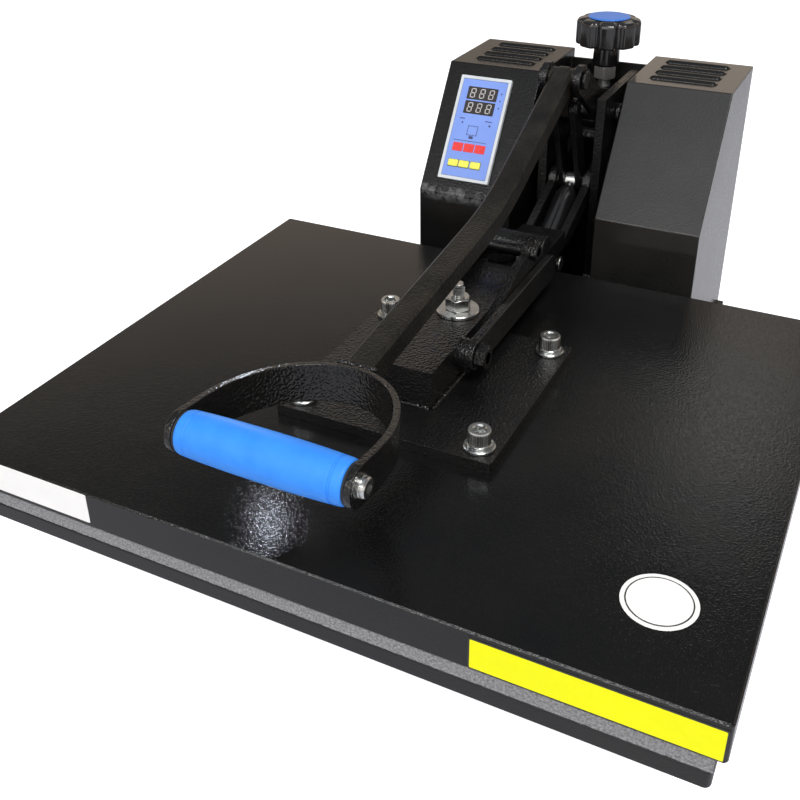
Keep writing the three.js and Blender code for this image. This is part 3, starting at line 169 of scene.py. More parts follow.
wire(room, (room_place, "Generated", room_axes, "Vector"), (room_axes, "Z", room_height, "Fac"),
     (room_axes, "Y", room_flip, 0), (room_flip, "Value", room_front, "Value"),
     (room_axes, "X", room_side, 0), (room_front, "Result", room_glow, 0),
     (room_side, "Value", room_glow, 1), (room_glow, "Value", room_mix, "Factor"),
     (room_height, "Color", room_mix, "A"), (room_mix, "Result", room_back, "Color"),
     (room_sight, "Is Camera Ray", room_view, "Fac"), (room_back, "Background", room_view, 1),
     (room_white, "Background", room_view, 2),
     (room_view, "Shader", room.nodes["World Output"], "Surface"))
print("room steps:", len(ramp.elements))

# %% [markdown]
# A wide soft lamp high above the right front gives the grip and the labels their light. A tiny lamp
# close above the left of the cover is the one that its paint mirrors as a patch of glitter. A weak
# one stands at the back, and a long thin one in front draws the bright lines along the rounded edges
# and folds. One big lamp could do, but it would spread all of these into one dull shine.

# %% Lamps


def soft_lamp(name, location, target, size, watts, colour):
    data = bpy.data.lights.new(name, "AREA")
    data.shape = "RECTANGLE"
    data.size, data.size_y = size
    data.energy = watts
    data.color = colour
    lamp = bpy.data.objects.new(name, data)
    lamp.location = location
    lamp.visible_camera = False
    lamp.rotation_euler = (Vector(target) - Vector(location)).to_track_quat("-Z", "Y").to_euler()
    bpy.context.scene.collection.objects.link(lamp)


soft_lamp("lamp_key", (0.75, -0.75, 2.3), (0, 0, 0.1), (0.9, 0.9), 36, (1.0, 0.985, 0.96))
soft_lamp("lamp_glint", (-0.112, -0.164, 0.277), (-0.020, -0.288, 0.15), (0.008, 0.008), 0.028,
          (0.80, 0.88, 1.0))
soft_lamp("lamp_back", (0.0, 2.0, 1.55), (0.25, 0, 0.15), (0.35, 0.35), 0.5, (1.0, 0.99, 0.97))
soft_lamp("lamp_edge", (-0.475, -1.73, 1.42), (-0.475, -0.3157, 0.148), (1.65, 0.12), 6,
          (1.0, 1.0, 1.0))

# %% [markdown]
# Many finishes share small effects: a grain, which is the orange peel of baked powder paint or the
# drag of a machined face, and rubbing and dust, which make a plain colour look used. Their nodes
# could be repeated in each material. Each effect is a node group instead, with its own named values,
# so that every finish can set its own scale.

# %% Shared effects


def new_group(name, inputs, outputs):
    group = bpy.data.node_groups.new(name, "ShaderNodeTree")
    for label, kind, value in inputs:
        socket = group.interface.new_socket(label, in_out="INPUT", socket_type=kind)
        socket.default_value = value
    for label, kind in outputs:
        group.interface.new_socket(label, in_out="OUTPUT", socket_type=kind)
    entry = group.nodes.new("NodeGroupInput")
    leave = group.nodes.new("NodeGroupOutput")
    return group, entry, leave


grain, grain_in, grain_out = new_group(
    "grain",
    [
        ("Scale", "NodeSocketFloat", 900.0),
        ("Depth", "NodeSocketFloat", 0.3),
        ("Size", "NodeSocketFloat", 0.0002),
    ],
    [("Normal", "NodeSocketVector"), ("Height", "NodeSocketFloat")],
)
grain_place = add_node(grain, "TexCoord")
grain_cells = add_node(grain, "TexVoronoi", feature="SMOOTH_F1")
grain_noise = add_node(grain, "TexNoise", {"Detail": 3.0})
grain_mix = add_node(grain, "Math", {1: 0.6}, operation="MULTIPLY_ADD")
grain_bump = add_node(grain, "Bump")
wire(grain, (grain_place, "Object", grain_cells, "Vector"),
     (grain_place, "Object", grain_noise, "Vector"), (grain_in, "Scale", grain_cells, "Scale"),
     (grain_in, "Scale", grain_noise, "Scale"), (grain_noise, "Fac", grain_mix, 0),
     (grain_cells, "Distance", grain_mix, 2), (grain_mix, "Value", grain_bump, "Height"),
     (grain_in, "Depth", grain_bump, "Strength"), (grain_in, "Size", grain_bump, "Distance"),
     (grain_bump, "Normal", grain_out, "Normal"), (grain_mix, "Value", grain_out, "Height"))

wear, wear_in, wear_out = new_group(
    "wear",
    [
        ("Low", "NodeSocketFloat", 0.35),
        ("High", "NodeSocketFloat", 0.5),
        ("Colour", "NodeSocketColor", (0.02, 0.02, 0.02, 1)),
        ("Dust", "NodeSocketColor", (0.05, 0.05, 0.05, 1)),
        ("Scale", "NodeSocketFloat", 14.0),
    ],
    [("Colour", "NodeSocketColor"), ("Roughness", "NodeSocketFloat")],
)
wear_place = add_node(wear, "TexCoord")
wear_noise = add_node(wear, "TexNoise", {"Detail": 6.0, "Roughness": 0.6})
wear_ramp = add_node(wear, "MapRange", {"From Min": 0.35, "From Max": 0.7})
wear_mix = add_node(wear, "Mix", data_type="RGBA")
wear_rough = add_node(wear, "MapRange")
wire(wear, (wear_place, "Object", wear_noise, "Vector"), (wear_in, "Scale", wear_noise, "Scale"),
     (wear_noise, "Fac", wear_ramp, "Value"), (wear_ramp, "Result", wear_mix, "Factor"),
     (wear_in, "Colour", wear_mix, "A"), (wear_in, "Dust", wear_mix, "B"),
     (wear_noise, "Fac", wear_rough, "Value"), (wear_in, "Low", wear_rough, "To Min"),
     (wear_in, "High", wear_rough, "To Max"), (wear_mix, "Result", wear_out, "Colour"),
     (wear_rough, "Result", wear_out, "Roughness"))
print("shared effects:", grain.name, wear.name)

# %% [markdown]
# The left housing has a pale line along its lower fold. It is partly rubbed paint, where the housing is
# gripped and rubbed, and partly a painted highlight that stands for the light the rounded fold catches.
# It could be a painted strip, but rubbing has no clean edge. The group below mixes in a paler colour,
# strong near one height and only at the front of the housing, and broken up by noise.

# %% Rubbed fold with a painted highlight
# A pale band along the lower fold: partly rubbed paint, partly a painted highlight of the fold.
rub_and_highlight, rub_highlight_in, rub_highlight_out = new_group(
    "rub_and_highlight",
    [
        ("Height", "NodeSocketFloat", 0.1877),
        ("Front", "NodeSocketFloat", 0.160),
        ("Width", "NodeSocketFloat", 0.007),
        ("Amount", "NodeSocketFloat", 1.0),
        ("Colour", "NodeSocketColor", (0.02, 0.02, 0.02, 1)),
        ("Rub_and_highlight", "NodeSocketColor", (0.05, 0.05, 0.05, 1)),
    ],
    [("Colour", "NodeSocketColor")],
)
rub_highlight_place = add_node(rub_and_highlight, "TexCoord")
rub_highlight_axes = add_node(rub_and_highlight, "SeparateXYZ")
rub_highlight_off = add_node(rub_and_highlight, "Math", operation="SUBTRACT")
rub_highlight_far = add_node(rub_and_highlight, "Math", operation="ABSOLUTE")
rub_highlight_band = add_node(rub_and_highlight, "MapRange", {"To Min": 1.0, "To Max": 0.0},
                      interpolation_type="SMOOTHSTEP")
rub_highlight_noise = add_node(rub_and_highlight, "TexNoise", {"Scale": 70.0, "Detail": 8.0, "Roughness": 0.7})
rub_highlight_break = add_node(rub_and_highlight, "MapRange", {"From Min": 0.45, "From Max": 0.68})
rub_highlight_mask = add_node(rub_and_highlight, "Math", operation="MULTIPLY")
rub_highlight_near = add_node(rub_and_highlight, "Math", operation="LESS_THAN")
rub_highlight_side = add_node(rub_and_highlight, "Math", operation="MULTIPLY")
rub_highlight_level = add_node(rub_and_highlight, "Math", operation="MULTIPLY")
rub_highlight_mix = add_node(rub_and_highlight, "Mix", data_type="RGBA")
wire(rub_and_highlight, (rub_highlight_place, "Object", rub_highlight_axes, "Vector"),
     (rub_highlight_place, "Object", rub_highlight_noise, "Vector"), (rub_highlight_axes, "Z", rub_highlight_off, 0),
     (rub_highlight_in, "Height", rub_highlight_off, 1), (rub_highlight_off, "Value", rub_highlight_far, 0),
     (rub_highlight_far, "Value", rub_highlight_band, "Value"), (rub_highlight_in, "Width", rub_highlight_band, "From Max"),
     (rub_highlight_noise, "Fac", rub_highlight_break, "Value"), (rub_highlight_band, "Result", rub_highlight_mask, 0),
     (rub_highlight_break, "Result", rub_highlight_mask, 1), (rub_highlight_axes, "Y", rub_highlight_near, 0),
     (rub_highlight_in, "Front", rub_highlight_near, 1), (rub_highlight_mask, "Value", rub_highlight_side, 0),
     (rub_highlight_near, "Value", rub_highlight_side, 1), (rub_highlight_side, "Value", rub_highlight_level, 0),
     (rub_highlight_in, "Amount", rub_highlight_level, 1), (rub_highlight_level, "Value", rub_highlight_mix, "Factor"),
     (rub_highlight_in, "Colour", rub_highlight_mix, "A"), (rub_highlight_in, "Rub_and_highlight", rub_highlight_mix, "B"),
     (rub_highlight_mix, "Result", rub_highlight_out, "Colour"))
print("scuff mask:", rub_and_highlight.name)

# %% [markdown]
# Every finish of the press is a short list of values for the same shader: its colour, how rough it is,
# whether it is metal, and how deep its grain lies. One function for all keeps them alike where they
# should be alike.

# %% Finishes
looks = {}


def finish(key, colour, dust, rough, metal=0.0, scale=900.0, depth=0.3, size=0.0002,
           spots=14.0, coat=0.0, specular=0.5, rub_and_highlight_amount=0.0):
    made = bpy.data.materials.new(key + "_finish")
    made.use_nodes = True
    tree = made.node_tree
    shader = tree.nodes["Principled BSDF"]
    peel = add_node(tree, "Group", node_tree=grain)
    rub = add_node(tree, "Group", node_tree=wear)
    for node, values in (
        (peel, {"Scale": scale, "Depth": depth, "Size": size}),
        (rub, {"Low": rough[0], "High": rough[1], "Colour": (*colour, 1), "Dust": (*dust, 1),
               "Scale": spots}),
        (shader, {"Metallic": metal, "Coat Weight": coat, "Coat Roughness": 0.1,
                  "Specular IOR Level": specular}),
    ):
        for socket, value in values.items():
            node.inputs[socket].default_value = value
    wire(tree, (peel, "Normal", shader, "Normal"), (rub, "Roughness", shader, "Roughness"))
    # The pale band along the fold is partly rubbed paint and partly a painted highlight.
    if rub_and_highlight_amount:
        rub_highlight_node = add_node(tree, "Group", node_tree=rub_and_highlight)
        rub_highlight_node.inputs["Amount"].default_value = rub_and_highlight_amount
        rub_highlight_node.inputs["Rub_and_highlight"].default_value = (0.22, 0.225, 0.235, 1)
        rub_highlight_node.inputs["Width"].default_value = 0.011
        wire(tree, (rub, "Colour", rub_highlight_node, "Colour"), (rub_highlight_node, "Colour", shader, "Base Color"))
    else:
        wire(tree, (rub, "Colour", shader, "Base Color"))
    looks[key] = made


# %% [markdown]
# The sheet of the cover and the housings has a fine, even orange peel. The bars, straps and plates have a
# thicker coat whose cells are deeper, which is why they glitter, and the lever's is duller. The right
# housing has a coated copy of the housing paint whose paler colour is painted light, for the light on its
# right side. One black for all would be simpler, but side by side the real parts differ.

# %% Paints
black = (0.0036, 0.0036, 0.004)
dusty = (0.0068, 0.0065, 0.006)
finish("cover_paint", black, dusty, (0.08, 0.13), scale=900, depth=0.6, size=0.00020,
       specular=0.42)
# The housing paint carries the pale band along the lower fold: partly rubbed paint, partly a painted
# highlight.
finish("housing_paint", black, dusty, (0.18, 0.30), scale=600, depth=0.7, size=0.00026,
       specular=0.36, rub_and_highlight_amount=1.0)
# The right housing's paler black is painted light, for the light on its right side.
finish("housing_paint_painted_lit", (0.012, 0.012, 0.0115), (0.020, 0.019, 0.018), (0.22, 0.34),
       scale=600, depth=0.7, size=0.00026, coat=0.8, specular=0.2)
finish("bar_paint", (0.004, 0.004, 0.0045), (0.009, 0.0085, 0.008), (0.08, 0.20),
       scale=600, depth=0.8, size=0.00055, specular=0.5)
finish("lever_paint", (0.006, 0.0055, 0.005), (0.017, 0.015, 0.012), (0.28, 0.44),
       scale=520, depth=0.9, size=0.0005, specular=0.30, spots=40)
finish("platen_paint", (0.007, 0.007, 0.0075), (0.013, 0.0125, 0.012), (0.26, 0.42),
       scale=800, depth=0.5, specular=0.4)
finish("inner_paint", black, dusty, (0.28, 0.42), scale=620, depth=0.5, specular=0.4)
print("paints:", len(looks))

# %% [markdown]
# Bare steel is zinc plated: bright on the bolts, duller on the pressure screw. The nut block and the
# anvil bar are darker steel, and the heating platen is aluminium. The pad is grey silicone whose cut
# edge is grainy, the grip is blue foam, and the knob is glossy black plastic with a blue cap.

# %% Metals, rubbers and plastics
finish("zinc", (0.66, 0.67, 0.66), (0.50, 0.51, 0.50), (0.14, 0.30), metal=1, scale=500,
       depth=0.08, spots=90)
finish("dull_zinc", (0.62, 0.63, 0.62), (0.46, 0.47, 0.46), (0.34, 0.52), metal=1, scale=500,
       depth=0.1, spots=90)
finish("dark_steel", (0.05, 0.05, 0.052), (0.09, 0.085, 0.08), (0.25, 0.42), metal=1,
       scale=700, depth=0.2)
finish("aluminium", (0.40, 0.41, 0.42), (0.3, 0.3, 0.3), (0.35, 0.5), metal=1, depth=0.2)
finish("silicone", (0.17, 0.172, 0.18), (0.44, 0.44, 0.45), (0.75, 0.92), scale=720,
       depth=1.0, size=0.0006, spots=640, specular=0.2)
finish("rubber", (0.010, 0.010, 0.010), (0.018, 0.018, 0.018), (0.5, 0.7), scale=800)
finish("foam", (0.026, 0.24, 0.86), (0.038, 0.28, 0.92), (0.42, 0.56), scale=1200,
       depth=0.25, size=0.00015, spots=60, specular=0.35)
finish("cap_plastic", (0.024, 0.17, 0.64), (0.032, 0.19, 0.70), (0.22, 0.34), scale=500,
       depth=0.05)
finish("gloss_plastic", (0.006, 0.006, 0.0065), (0.010, 0.010, 0.010), (0.12, 0.24),
       scale=300, depth=0.08, specular=0.6, coat=0.4)
finish("bezel_plastic", (0.66, 0.70, 0.74), (0.56, 0.60, 0.64), (0.28, 0.4), scale=400,
       depth=0.05)
print("finishes so far:", len(looks))

# %% [markdown]
# The controller's face is a printed film. Its keys, windows and marks are small pieces of their own,
# and so are the plain labels on the cover, so each has a finish here.

# %% Films, keys and labels
finish("film", (0.185, 0.30, 0.76), (0.205, 0.33, 0.80), (0.35, 0.5), scale=900,
       depth=0.1, spots=30)
finish("yellow_key", (0.86, 0.84, 0.12), (0.80, 0.76, 0.09), (0.4, 0.55), scale=700,
       depth=0.15, spots=120)
finish("red_key", (0.80, 0.045, 0.04), (0.70, 0.03, 0.03), (0.4, 0.55), scale=700,
       depth=0.15, spots=120)
finish("window", (0.022, 0.018, 0.020), (0.035, 0.030, 0.030), (0.16, 0.26), scale=300,
       depth=0.03)
finish("digit", (0.44, 0.42, 0.42), (0.52, 0.50, 0.50), (0.4, 0.5), scale=300, depth=0.05)
finish("ink", (0.03, 0.035, 0.11), (0.05, 0.055, 0.15), (0.4, 0.5), scale=300, depth=0.05)
finish("yellow_label", (0.92, 0.93, 0.002), (0.88, 0.88, 0.002), (0.30, 0.42), scale=260,
       depth=0.08, spots=24, specular=0.2)
finish("white_label", (0.93, 0.93, 0.92), (0.88, 0.88, 0.87), (0.32, 0.45), scale=260,
       depth=0.08, spots=24)
finish("black_ink", (0.010, 0.010, 0.010), (0.02, 0.02, 0.02), (0.35, 0.5), scale=260,
       depth=0.08)
print("finishes:", len(looks))

# %% [markdown]
# In Blender an operator acts on everything that is selected. By hand, one would click on faces. A
# script has to find them, so these helpers change the mode, and select one piece, or some faces, edges
# or points of it by a test on their place.

# %% Helpers for selecting


def object_mode():
    bpy.ops.object.mode_set(mode="OBJECT")


def edit_all(piece):
    pick(piece)
    bpy.ops.object.mode_set(mode="EDIT")
    bpy.ops.mesh.select_all(action="SELECT")


def settle():
    bpy.ops.object.transform_apply(location=True, rotation=True, scale=True)


def face_outwards():
    bpy.ops.mesh.select_all(action="SELECT")
    bpy.ops.mesh.normals_make_consistent(inside=False)
    object_mode()


def clear_selection():
    if bpy.context.object and bpy.context.object.mode != "OBJECT":
        object_mode()
    bpy.ops.object.select_all(action="DESELECT")


def pick(piece, *others):
    clear_selection()
    for thing in (piece, *others):
        thing.select_set(True)
    bpy.context.view_layer.objects.active = piece


def mark(piece, kind, test):
    pick(piece)
    bpy.ops.object.mode_set(mode="EDIT")
    bpy.ops.mesh.select_mode(type=kind)
    bpy.ops.mesh.select_all(action="DESELECT")
    mesh = bmesh.from_edit_mesh(piece.data)
    parts = {"FACE": mesh.faces, "EDGE": mesh.edges, "VERT": mesh.verts}[kind]
    for part in filter(test, parts):
        part.select_set(True)
    mesh.select_flush_mode()
    bmesh.update_edit_mesh(piece.data)


print("selecting helpers ready")

# %% [markdown]
# These helpers apply a modifier, copy a piece, place it, and hand a finished piece its look, its body
# and its smooth shading. Weighted normals keep the large flat faces flat between rounded edges. The
# same could be typed out for each piece, but then one of them would be forgotten.

# %% Helpers for finishing


def apply_modifier(piece, kind, **values):
    pick(piece)
    modifier = piece.modifiers.new(kind.lower(), kind)
    for name, value in values.items():
        setattr(modifier, name, value)
    bpy.ops.object.modifier_apply(modifier=modifier.name)


def twin(piece, name):
    copy = bpy.data.objects.new(name, piece.data.copy())
    bpy.context.scene.collection.objects.link(copy)
    return copy


def stand(piece, location, turn=(0, 0, 0)):
    pick(piece)
    piece.rotation_euler = [math.radians(angle) for angle in turn]
    piece.location = location
    settle()
    return piece


def dress(piece, look, body, smooth=35, instead=()):
    pick(piece)
    settle()
    bpy.ops.object.shade_smooth_by_angle(angle=math.radians(smooth))
    apply_modifier(piece, "WEIGHTED_NORMAL", keep_sharp=True)
    piece.data.materials.clear()
    piece.data.materials.append(looks[look])
    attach(piece, body)
    if instead:
        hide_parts(*instead)


print("finishing helpers ready")

# %% [markdown]
# The solids are made of loose triangles with sharp edges. Real sheet and bar have a small rounding on
# every edge, which catches the light as a thin bright line. It could be faked in the material, but the
# outline would stay sharp. A copy of each solid is merged, its flat triangles are dissolved into whole
# faces, its edges are bevelled, and it then stands for the solid.

# %% Helpers for bevelled copies
FLAT_ANGLE = math.radians(0.6)
FOLD_ANGLE = math.radians(30)


def round_edges(piece, width, segments=2):
    apply_modifier(piece, "BEVEL", width=width * MM, segments=segments, limit_method="ANGLE",
                   angle_limit=FOLD_ANGLE, use_clamp_overlap=True)


def refine(name, look, bevel, segments):
    piece = twin(nodes[name], name + "_fine")
    edit_all(piece)
    bpy.ops.mesh.remove_doubles(threshold=NEAR)
    bpy.ops.mesh.dissolve_limited(angle_limit=FLAT_ANGLE)
    object_mode()
    round_edges(piece, bevel, segments)
    dress(piece, look, body_of[name], instead=(name,))


print("bevel helpers ready")

# %% [markdown]
# Each plan gives a finish, the width of the rounding in millimetres and its number of faces. Folded
# sheet and thick bar have wider roundings than plastic. A plan that names only the start of some
# solids, such as arm_strap, goes to each of them: left and right, front and rear, or keys 1 to 3.

# %% Bevelled copies of the solids
sheet_plans = {
    "cover": ("cover_paint", 1.3, 3),
    "housing_left": ("housing_paint", 1.1, 3),
    # The right housing's paint is paler as painted light for its lit side.
    "housing_right": ("housing_paint_painted_lit", 1.1, 3),
    "base_frame": ("cover_paint", 1.2, 2),
    "base_plate": ("inner_paint", 0.8, 2),
    "rear_wall": ("inner_paint", 0.4, 2),
}
bar_plans = {
    "mounting_plate": ("bar_paint", 0.9, 3),
    "channel_block": ("bar_paint", 2.0, 3),
    "arm_strap": ("bar_paint", 1.1, 3),
    "arm_rib": ("bar_paint", 0.9, 2),
    "rear_arm": ("bar_paint", 0.7, 2),
    "upright": ("bar_paint", 0.9, 2),
    "yoke_plate": ("bar_paint", 1.1, 3),
    "toggle_link": ("bar_paint", 0.9, 2),
    "handle_strip": ("bar_paint", 0.7, 2),
    "lever_bar": ("lever_paint", 1.6, 3),
    "spring_bracket": ("bar_paint", 0.6, 2),
    "arm_shaft": ("bar_paint", 0.8, 2),
    "yoke_shaft": ("bar_paint", 0.8, 2),
    "lever_pin": ("bar_paint", 0.7, 2),
}
other_plans = {
    "yoke_nut": ("dark_steel", 0.6, 2),
    "spring_pin": ("zinc", 0.5, 2),
    "gas_spring_tube": ("gloss_plastic", 0.6, 2),
    "gas_spring_rod": ("zinc", 0.3, 2),
    "anvil_bar": ("dark_steel", 0.8, 2),
    "platen_support": ("inner_paint", 0.8, 2),
    "lower_platen": ("platen_paint", 0.5, 2),
    "heating_platen": ("aluminium", 0.5, 2),
    "controller_bezel": ("bezel_plastic", 0.7, 3),
    "controller_panel": ("film", 0.15, 1),
    "key_": ("yellow_key", 0.45, 3),
    "mains_inlet": ("gloss_plastic", 0.4, 2),
    "rocker": ("gloss_plastic", 0.5, 2),
    "rubber_foot": ("rubber", 0.9, 3),
}
bevelled = []
for plans in (sheet_plans, bar_plans, other_plans):
    for stem, (look, bevel, segments) in plans.items():
        for node in sorted(name for name in nodes if name.startswith(stem)):
            refine(node, look, bevel, segments)
            bevelled.append(node)
print("bevelled copies:", len(bevelled))

# %% [markdown]
# Bolts, washers and caps are turned on a lathe. An outline could be spun round the axis, which leaves
# a seam to merge. Here a turned piece starts as a filled circle, which is extruded and resized step by
# step, so that a short list of radii and heights gives its outline, and both ends are closed. The
# normals are recalculated at the end, because the first face of the circle points inwards.

# %% Turned pieces


def extrude_steps(steps):
    for rise, share in steps:
        bpy.ops.mesh.extrude_region_move(TRANSFORM_OT_translate={"value": (0, 0, rise * MM)})
        bpy.ops.transform.resize(value=(share, share, 1), center_override=(0, 0, 0))


def turned(name, rings, sides=48):
    clear_selection()
    radius, height = rings[0]
    bpy.ops.mesh.primitive_circle_add(vertices=sides, radius=radius * MM, fill_type="NGON",
                                      location=(0, 0, height * MM))
    piece = bpy.context.object
    piece.name = name
    settle()
    edit_all(piece)
    extrude_steps((high - low, next_wide / wide)
                  for (wide, low), (next_wide, high) in zip(rings, rings[1:]))
    face_outwards()
    return piece


def combine(piece, tool, operation):
    apply_modifier(piece, "BOOLEAN", object=tool, operation=operation, solver="EXACT")
    bpy.data.objects.remove(tool, do_unlink=True)
    return piece


def join(name, pieces):
    pick(*pieces)
    bpy.ops.object.join()
    made = bpy.context.object
    made.name = name
    return made


CHAMFER_NARROW = 0.475
CHAMFER_WIDE = 0.58
CHAMFER_SLOPE = 0.061


def hexagon(name, flats, low, high):
    clear_selection()
    corner = flats / 2 / math.cos(math.radians(30))
    bpy.ops.mesh.primitive_cylinder_add(vertices=6, radius=corner * MM, depth=(high - low) * 1.5 * MM,
                                        location=(0, 0, (low + high) / 2 * MM))
    nut = bpy.context.object
    nut.name = name
    settle()
    narrow = flats * CHAMFER_NARROW
    wide = flats * CHAMFER_WIDE
    slope = flats * CHAMFER_SLOPE
    lens = turned(name + "_lens", [(narrow, low), (wide, low + slope), (wide, high - slope),
                                   (narrow, high)])
    return combine(nut, lens, "INTERSECT")


print("turning helpers ready")

# %% [markdown]
# A screw thread is a small triangle swept round the axis while it climbs by one pitch a turn. A stack
# of rings would look much the same from afar, but wouldn't climb. The Screw modifier does the sweep.
# Its two open ends are filled, and the ridge is joined to a core.

# %% Threads


def thread(name, radius, pitch, low, high, depth):
    clear_selection()
    bpy.ops.mesh.primitive_circle_add(vertices=3, radius=pitch * 0.45 * MM, fill_type="NOTHING",
                                      rotation=(math.radians(90), 0, 0))
    ridge = bpy.context.object
    ridge.name = name
    settle()
    edit_all(ridge)
    bpy.ops.transform.rotate(value=math.radians(-90), orient_axis="Y", center_override=(0, 0, 0))
    bpy.ops.transform.translate(value=((radius - depth) * MM, 0, (low + pitch * 0.5) * MM))
    object_mode()
    turns = int((high - low - pitch) / pitch)
    apply_modifier(ridge, "SCREW", axis="Z", screw_offset=pitch * MM, iterations=turns, steps=20,
                   render_steps=20, use_normal_calculate=True)
    edit_all(ridge)
    bpy.ops.mesh.remove_doubles(threshold=NEAR / 2)
    bpy.ops.mesh.fill_holes(sides=4)
    face_outwards()
    return ridge


print("thread helper ready")

# %% [markdown]
# Four socket head bolts hold the mounting plate. Each has a flat washer, a split spring washer and a
# knurled head with a hexagon socket. The knurl could be a bump, but its teeth show against the light,
# so it is a many-sided circle whose every other point is drawn in before it is extruded.

# %% A knurled socket head bolt
PLATE_TOP = 158
BOLT_ACROSS = 67.5
BOLT_FRONT = 144
BOLT_REAR = 280
KNURLS = 72
HEAD_RADIUS = 8
HEAD_FOOT = 4.7
HEAD_TOP = 14.7
KNURL_SHARE = 0.955
SOCKET_CORNER = 4.62
SOCKET_DEPTH = 5.2
SOCKET_CUT = 10
washer = turned("washer", [(10.2, 0), (10.8, 0.5), (10.8, 2.0), (10.2, 2.5)], 64)
spring_ring = turned("spring_ring", [(8.2, 2.5), (8.6, 2.8), (8.6, 4.3), (8.2, 4.7)], 64)
clear_selection()
bpy.ops.mesh.primitive_cube_add(size=1, location=(8.5 * MM, 0, 3.6 * MM))
split = bpy.context.object
split.dimensions = (4 * MM, 0.9 * MM, 4 * MM)
split.rotation_euler = (math.radians(24), 0, 0)
combine(spring_ring, split, "DIFFERENCE")

clear_selection()
bpy.ops.mesh.primitive_circle_add(vertices=KNURLS, radius=HEAD_RADIUS * MM, fill_type="NGON",
                                  location=(0, 0, HEAD_FOOT * MM))
head = bpy.context.object
head.name = "head"
settle()
mark(head, "VERT", lambda point: point.index % 2 == 0)
bpy.ops.transform.resize(value=(KNURL_SHARE, KNURL_SHARE, 1), center_override=(0, 0, 0))
bpy.ops.mesh.select_mode(type="FACE")
bpy.ops.mesh.select_all(action="SELECT")
extrude_steps([(0.0001, 0.93), (0.6, 1.0753), (7.6, 1.0), (1.2, 0.965), (0.6, 0.955)])
bpy.ops.mesh.select_all(action="SELECT")
bpy.ops.mesh.remove_doubles(threshold=NEAR / 10)
face_outwards()
clear_selection()
bpy.ops.mesh.primitive_cylinder_add(vertices=6, radius=SOCKET_CORNER * MM, depth=SOCKET_CUT * MM,
                                    location=(0, 0, (HEAD_TOP - SOCKET_DEPTH + SOCKET_CUT / 2) * MM))
combine(head, bpy.context.object, "DIFFERENCE")
mouth = turned("mouth", [(4.1, 13.6), (5.0, 14.6), (5.4, 15.4)])
combine(head, mouth, "DIFFERENCE")
bolt = join("bolt", [washer, spring_ring, head])
print("bolt faces:", len(bolt.data.polygons))

# %% [markdown]
# The bolt stands at the origin. Each copy of it gets its own mesh, is turned by its own angle, as bolts
# are when they are tightened, and goes to its corner of the plate.

# %% Four bolts in the plate
bolt_turns = {"front_left": 8, "front_right": 31, "rear_left": 47, "rear_right": 19}
for corner, angle in bolt_turns.items():
    across = -BOLT_ACROSS if corner.endswith("left") else BOLT_ACROSS
    along = BOLT_FRONT if corner.startswith("front") else BOLT_REAR
    node = "plate_bolt_" + corner
    copy = twin(bolt, node + "_fine")
    stand(copy, place(across, along, PLATE_TOP), (0, 0, angle))
    dress(copy, "zinc", body_of[node], 28, instead=(node,))
bpy.data.objects.remove(bolt, do_unlink=True)
print("bolts:", len(bolt_turns))

# %% [markdown]
# The levelling stud stands in the channel block. A wide thin washer and a chamfered nut hold it, and
# its thread shows above the nut. The chamfer of a nut is a cone, so the hexagon is cut by a turned
# lens, which leaves the curved corners that real nuts have.

# %% Levelling stud
stud_core = turned("stud_core", [(4.3, 158), (4.35, 158.5), (4.35, 210), (3.8, 211)], 32)
stud_ridge = thread("stud_ridge", radius=5.0, pitch=1.5, low=158.4, high=210.8, depth=0.55)
stud_washer = turned("stud_washer", [(16.0, 187), (16.5, 187.5), (16.5, 189.4), (15.9, 190)], 72)
stud_nut = stand(hexagon("stud_nut", flats=17.5, low=190, high=200), (0, 0, 0), (0, 0, 14))
round_edges(stud_nut, 0.25)
stud = join("levelling_stud_fine", [stud_core, stud_ridge, stud_washer, stud_nut])
stand(stud, place(0, 260.4, 0))
dress(stud, "zinc", body_of["levelling_stud"], 30, instead=("levelling_stud",))
print("stud faces:", len(stud.data.polygons))

# %% [markdown]
# The pressure screw turns in the nut of the yoke. Below the knob it has a dull hexagon collar, and the
# hub of the knob sits on that. Core, thread and collar are one part on the real screw, so they are
# joined into one piece here.

# %% Pressure screw
SCREW_PLACE = place(0, 612, 0)
screw_core = turned("screw_core", [(4.4, 234), (5.2, 235), (5.2, 277.5)], 32)
screw_ridge = thread("screw_ridge", radius=6.0, pitch=1.75, low=234.6, high=277.4, depth=0.65)
collar = stand(hexagon("collar", flats=20, low=277, high=290), (0, 0, 0), (0, 0, 12))
round_edges(collar, 0.3)
screw = join("pressure_screw_fine", [screw_core, screw_ridge, collar])
stand(screw, SCREW_PLACE)
dress(screw, "dull_zinc", body_of["pressure_screw"], 30, instead=("pressure_screw",))
print("screw faces:", len(screw.data.polygons))

# %% [markdown]
# The star knob is moulded in glossy black plastic. Its edge has eight wide lobes with narrow flutes
# between them. The flutes could be cut out by eight cylinders, but that leaves hard edges, and moulded
# ones run out softly. So a circle is drawn, and its points are pulled in group by group. The table
# gives the radius at each angle from the middle of a flute.

# %% Outline of the knob
FLUTES = 8
FLUTE_TURN = -8.1
WHEEL_FOOT = 312
WHEEL_RADIUS = 30.5
STEPS_PER_DEGREE = 8
flute_table = [(0, 26.0), (3, 26.3), (5.5, 27.4), (7, 28.6), (8.2, 29.5), (9.6, 30.15), (11.5, 30.45),
               (23, WHEEL_RADIUS)]


def flute_radius(offset):
    for (start, start_r), (end, end_r) in zip(flute_table, flute_table[1:]):
        if start <= offset <= end:
            return start_r + (end_r - start_r) * (offset - start) / (end - start)
    return flute_table[-1][1]


def flute_offset(point):
    period = 360 / FLUTES
    angle = (math.degrees(math.atan2(point.y, point.x)) - FLUTE_TURN) % period
    return round(min(angle, period - angle) * STEPS_PER_DEGREE) / STEPS_PER_DEGREE


